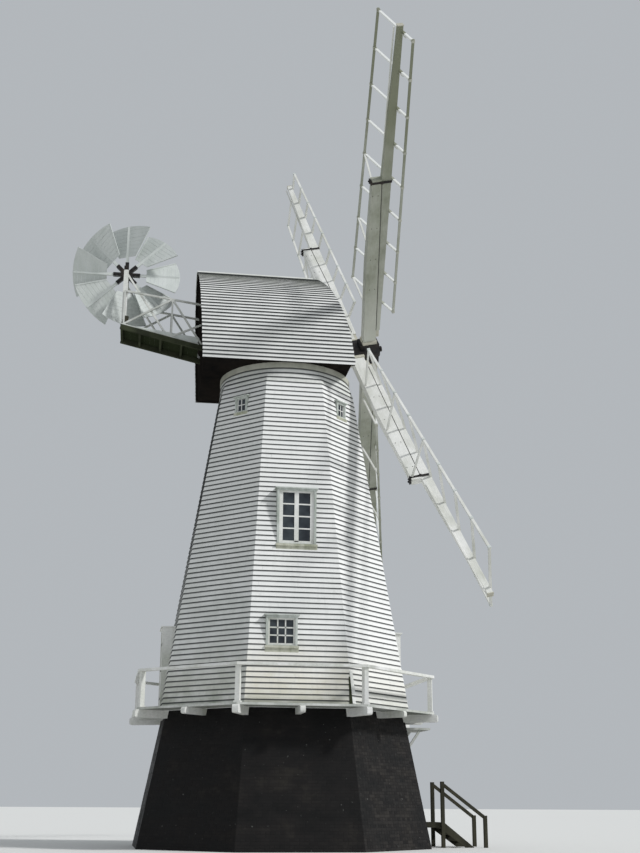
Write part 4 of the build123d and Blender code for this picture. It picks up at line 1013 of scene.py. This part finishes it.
# %% [markdown]
# ## Details of the sails
# A sail is a whip bolted along a stock, with bars through it and a long lath down each side. Struts
# steady the long side and cleats hold the bars near the tip. They are placed in the sail's own
# axes, out along it, across it and ahead of the stock, so that one set of sizes serves all four
# sails.

# %% Sail axes and shapes
STOCK_HALF_GAP = 0.216
STOCK_HALF_DEEP = 0.178
STOCK_END = 5.6
WHIP_HEEL, WHIP_TIP = 0.76, 9.66
BAR_RADII = 9.49 - 0.9755 * np.arange(9)
BAR_TWIST = np.radians(6.9 + 1.3 * np.arange(9))
LEADING, TRAILING = 0.596, -1.438


def on_sail(index, points):
    """Points given as (out, across, ahead of the front of the sail's stock)."""
    outward, leading, forward = sail_axes(index)
    r, across, ahead = np.moveaxis(np.asarray(points, dtype=float)[..., None], -2, 0)
    ahead = ahead + (STOCK_HALF_GAP if index % 2 else -STOCK_HALF_GAP) + STOCK_HALF_DEEP
    return turned(HUB) + r * outward + across * leading + ahead * forward


def whip_front(r):
    """How far ahead of the stock the whip's front is: it leans forward to its tip."""
    return np.interp(r, [WHIP_HEEL, WHIP_TIP], [0.12, 0.384])


def whip_half(r):
    return np.interp(r, [WHIP_HEEL, WHIP_TIP], [0.1, 0.055])


def stock_half(r):
    return np.interp(r, [0.33, STOCK_END], [0.14, 0.095])


def stock_deep(r):
    return np.interp(r, [3.0, STOCK_END], [0.356, 0.26])


def bar_point(i, reach):
    """A point so far along bar i, which is turned about the whip by its twist."""
    return xyz(BAR_RADII[i], reach * np.cos(BAR_TWIST[i]),
               whip_front(BAR_RADII[i]) + 0.006 + reach * np.sin(BAR_TWIST[i]))


def sail_bars():
    """Struts, cleats with their thin ends, and the backing lath, in sail axes."""
    feet = np.array([1.66, 3.6, 5.5])
    hold = xyz(feet, -stock_half(feet) - 0.012, 0.045 - stock_deep(feet))
    struts = sticks(bar_point(np.array([8, 6, 4]), TRAILING), hold, 0.045, 0.045, (0, 0, 1))
    near = np.arange(4)
    drop = np.array([0.044, 0.0, 0.0])
    root, far, end = (bar_point(near, reach) for reach in (0.045, 0.235, 0.315))
    cleats = sticks(root - drop, far - drop, 0.044, 0.056, (1, 0, 0))
    nibs = sticks(far - drop * 0.8, end - drop * 0.45, 0.022, 0.052, (1, 0, 0))
    lath = sticks([9.6, -whip_half(9.6) - 0.03, whip_front(9.6) - 0.195],
                  [STOCK_END + 0.25, -whip_half(5.9) - 0.012, whip_front(5.9) - 0.23],
                  0.04, 0.034, (0, 1, 0))
    return join([struts, cleats, nibs, lath])


def knots():
    """The blocks where the bars' ends go through the laths."""
    places = join([bar_point(np.arange(9), reach) for reach in (LEADING, TRAILING)])
    half = np.array([0.033, 0.032, 0.038])
    return boxes(places - half, places + half)


def wedges_and_cap():
    """Wedges on all four sides of a stock at the poll end, a block from there to the whip's heel,
    and the whip's tip cap."""
    half, deep = stock_half(0.36), 0.356
    near, far, side = 0.331, 0.43, half + 0.03
    cap_half, front = whip_half(WHIP_TIP) + 0.012, whip_front(WHIP_TIP)
    return boxes(*np.swapaxes([
        ((near, half, -deep), (far, side, 0.0)), ((near, -side, -deep), (far, -half, 0.0)),
        ((near, -side, 0.0), (far, side, 0.028)), ((near, -side, -deep - 0.028), (far, side, -deep)),
        ((0.52, -0.075, 0.0), (WHIP_HEEL, 0.075, 0.105)),
        ((WHIP_TIP, -cap_half, front - 0.15), (WHIP_TIP + 0.022, cap_half, front + 0.01)),
    ], 0, 1))


def end_iron():
    """The plate and its two bolt ends on the back of the stock's end, the strap's ears, and thin
    strips for the dark line where the whip lies on the stock."""
    end, half, deep = STOCK_END, stock_half(5.5), stock_deep(5.5)
    start, stop = (xyz(r, HANDS * (stock_half(r) + 0.0015), -0.002) for r in (0.8, 5.46))
    bolts, ears = HANDS * half * 0.45, HANDS * (half + 0.024)
    return join([
        boxes((end - 0.13, -half - 0.01, -deep - 0.04), (end - 0.03, half + 0.01, -deep - 0.013)),
        boxes(xyz(end - 0.1, bolts - half * 0.15, -deep - 0.075),
              xyz(end - 0.06, bolts + half * 0.15, -deep - 0.04)),
        boxes(xyz(end - 0.12, ears - 0.011, -0.03), xyz(end - 0.05, ears + 0.011, 0.03)),
        sticks(start, stop, 0.003, 0.016, (0, 1, 0))])


def stock_bolts():
    """Pairs of bolt heads on both sides of the stock, one pair between every two bars."""
    return np.array([(r, hand * stock_half(r), level) for r in BAR_RADII[4:8] - 0.45
                     for hand in (-1, 1) for level in (-0.09, -0.24)])


# %% Put the details on all four sails
# The grey pair's knots take the darker grey_curb finish, partly as painted shade.
for index, name in enumerate(("up_right", "up_left", "down_left", "down_right")):
    for kind, corners, finish in (("joinery_", sail_bars(), "sail_white"),
                                  ("knots_", knots(), "grey_curb" if index % 2 else "fan_paint"),
                                  ("wedges_", wedges_and_cap(), "oak_wedge")):
        put_boards(kind + name, "sails", on_sail(index, corners), finish, "sail_timber")
    put_boards("end_iron_" + name, "sails", on_sail(index, end_iron()), "black_iron")
    places = stock_bolts()
    ways = np.sign(places[:, 1:2]) * sail_axes(index)[1]
    put_bolts("stock_bolts_" + name, "sails", on_sail(index, places), ways, 0.012, 0.008)

# %% [markdown]
# ## Floor, light and camera
# An even sky and one large soft lamp over a plain pale floor render a colour about as it is
# written, where a picture of a sky would tint it. The camera has the photograph's angle.

# %% Studio
FLOOR_HALF = 400
floor_mesh = bpy.data.meshes.new("floor")
corners = [(FLOOR_HALF * x, FLOOR_HALF * y, 0) for x, y in ((-1, -1), (1, -1), (1, 1), (-1, 1))]
floor_mesh.from_pydata(corners, [], [(0, 1, 2, 3)])
new_finish("floor_finish", 0.9)[1].inputs["Base Color"].default_value = (0.72, 0.72, 0.7, 1)
floor_mesh.materials.append(finishes["floor_finish"])
floor = add_object("floor", floor_mesh)

scene.world = bpy.data.worlds.new("studio")
scene.world.use_nodes = True
sky = scene.world.node_tree.nodes["Background"]
sky.inputs["Color"].default_value = (0.9, 0.95, 1.0, 1)
sky.inputs["Strength"].default_value = 0.5

sun_data = bpy.data.lights.new("key", "SUN")
sun_data.energy = 2.4
sun_data.angle = radians(8)
sun = add_object("key", sun_data)
sun.rotation_euler = Vector((-0.45, -0.75, 0.75)).to_track_quat("Z", "Y").to_euler()
scene.view_settings.view_transform = "Standard"

# %% Camera, from the view solved on the tower's edges
FOCAL_PIXELS, PICTURE_HIGH, SENSOR = 1224.12, 853, 36
camera_data = bpy.data.cameras.new("camera")
camera_data.sensor_width = SENSOR
camera_data.lens = FOCAL_PIXELS / PICTURE_HIGH * SENSOR
camera_data.clip_end = 2000
camera = add_object("camera", camera_data)
camera.matrix_world = Matrix(((-0.171907, -0.290307, -0.941366, -32.574),
                              (-0.985099, 0.055796, 0.162686, 4.607),
                              (0.005295, 0.955306, -0.295573, 1.0248), (0, 0, 0, 1)))
scene.camera = camera
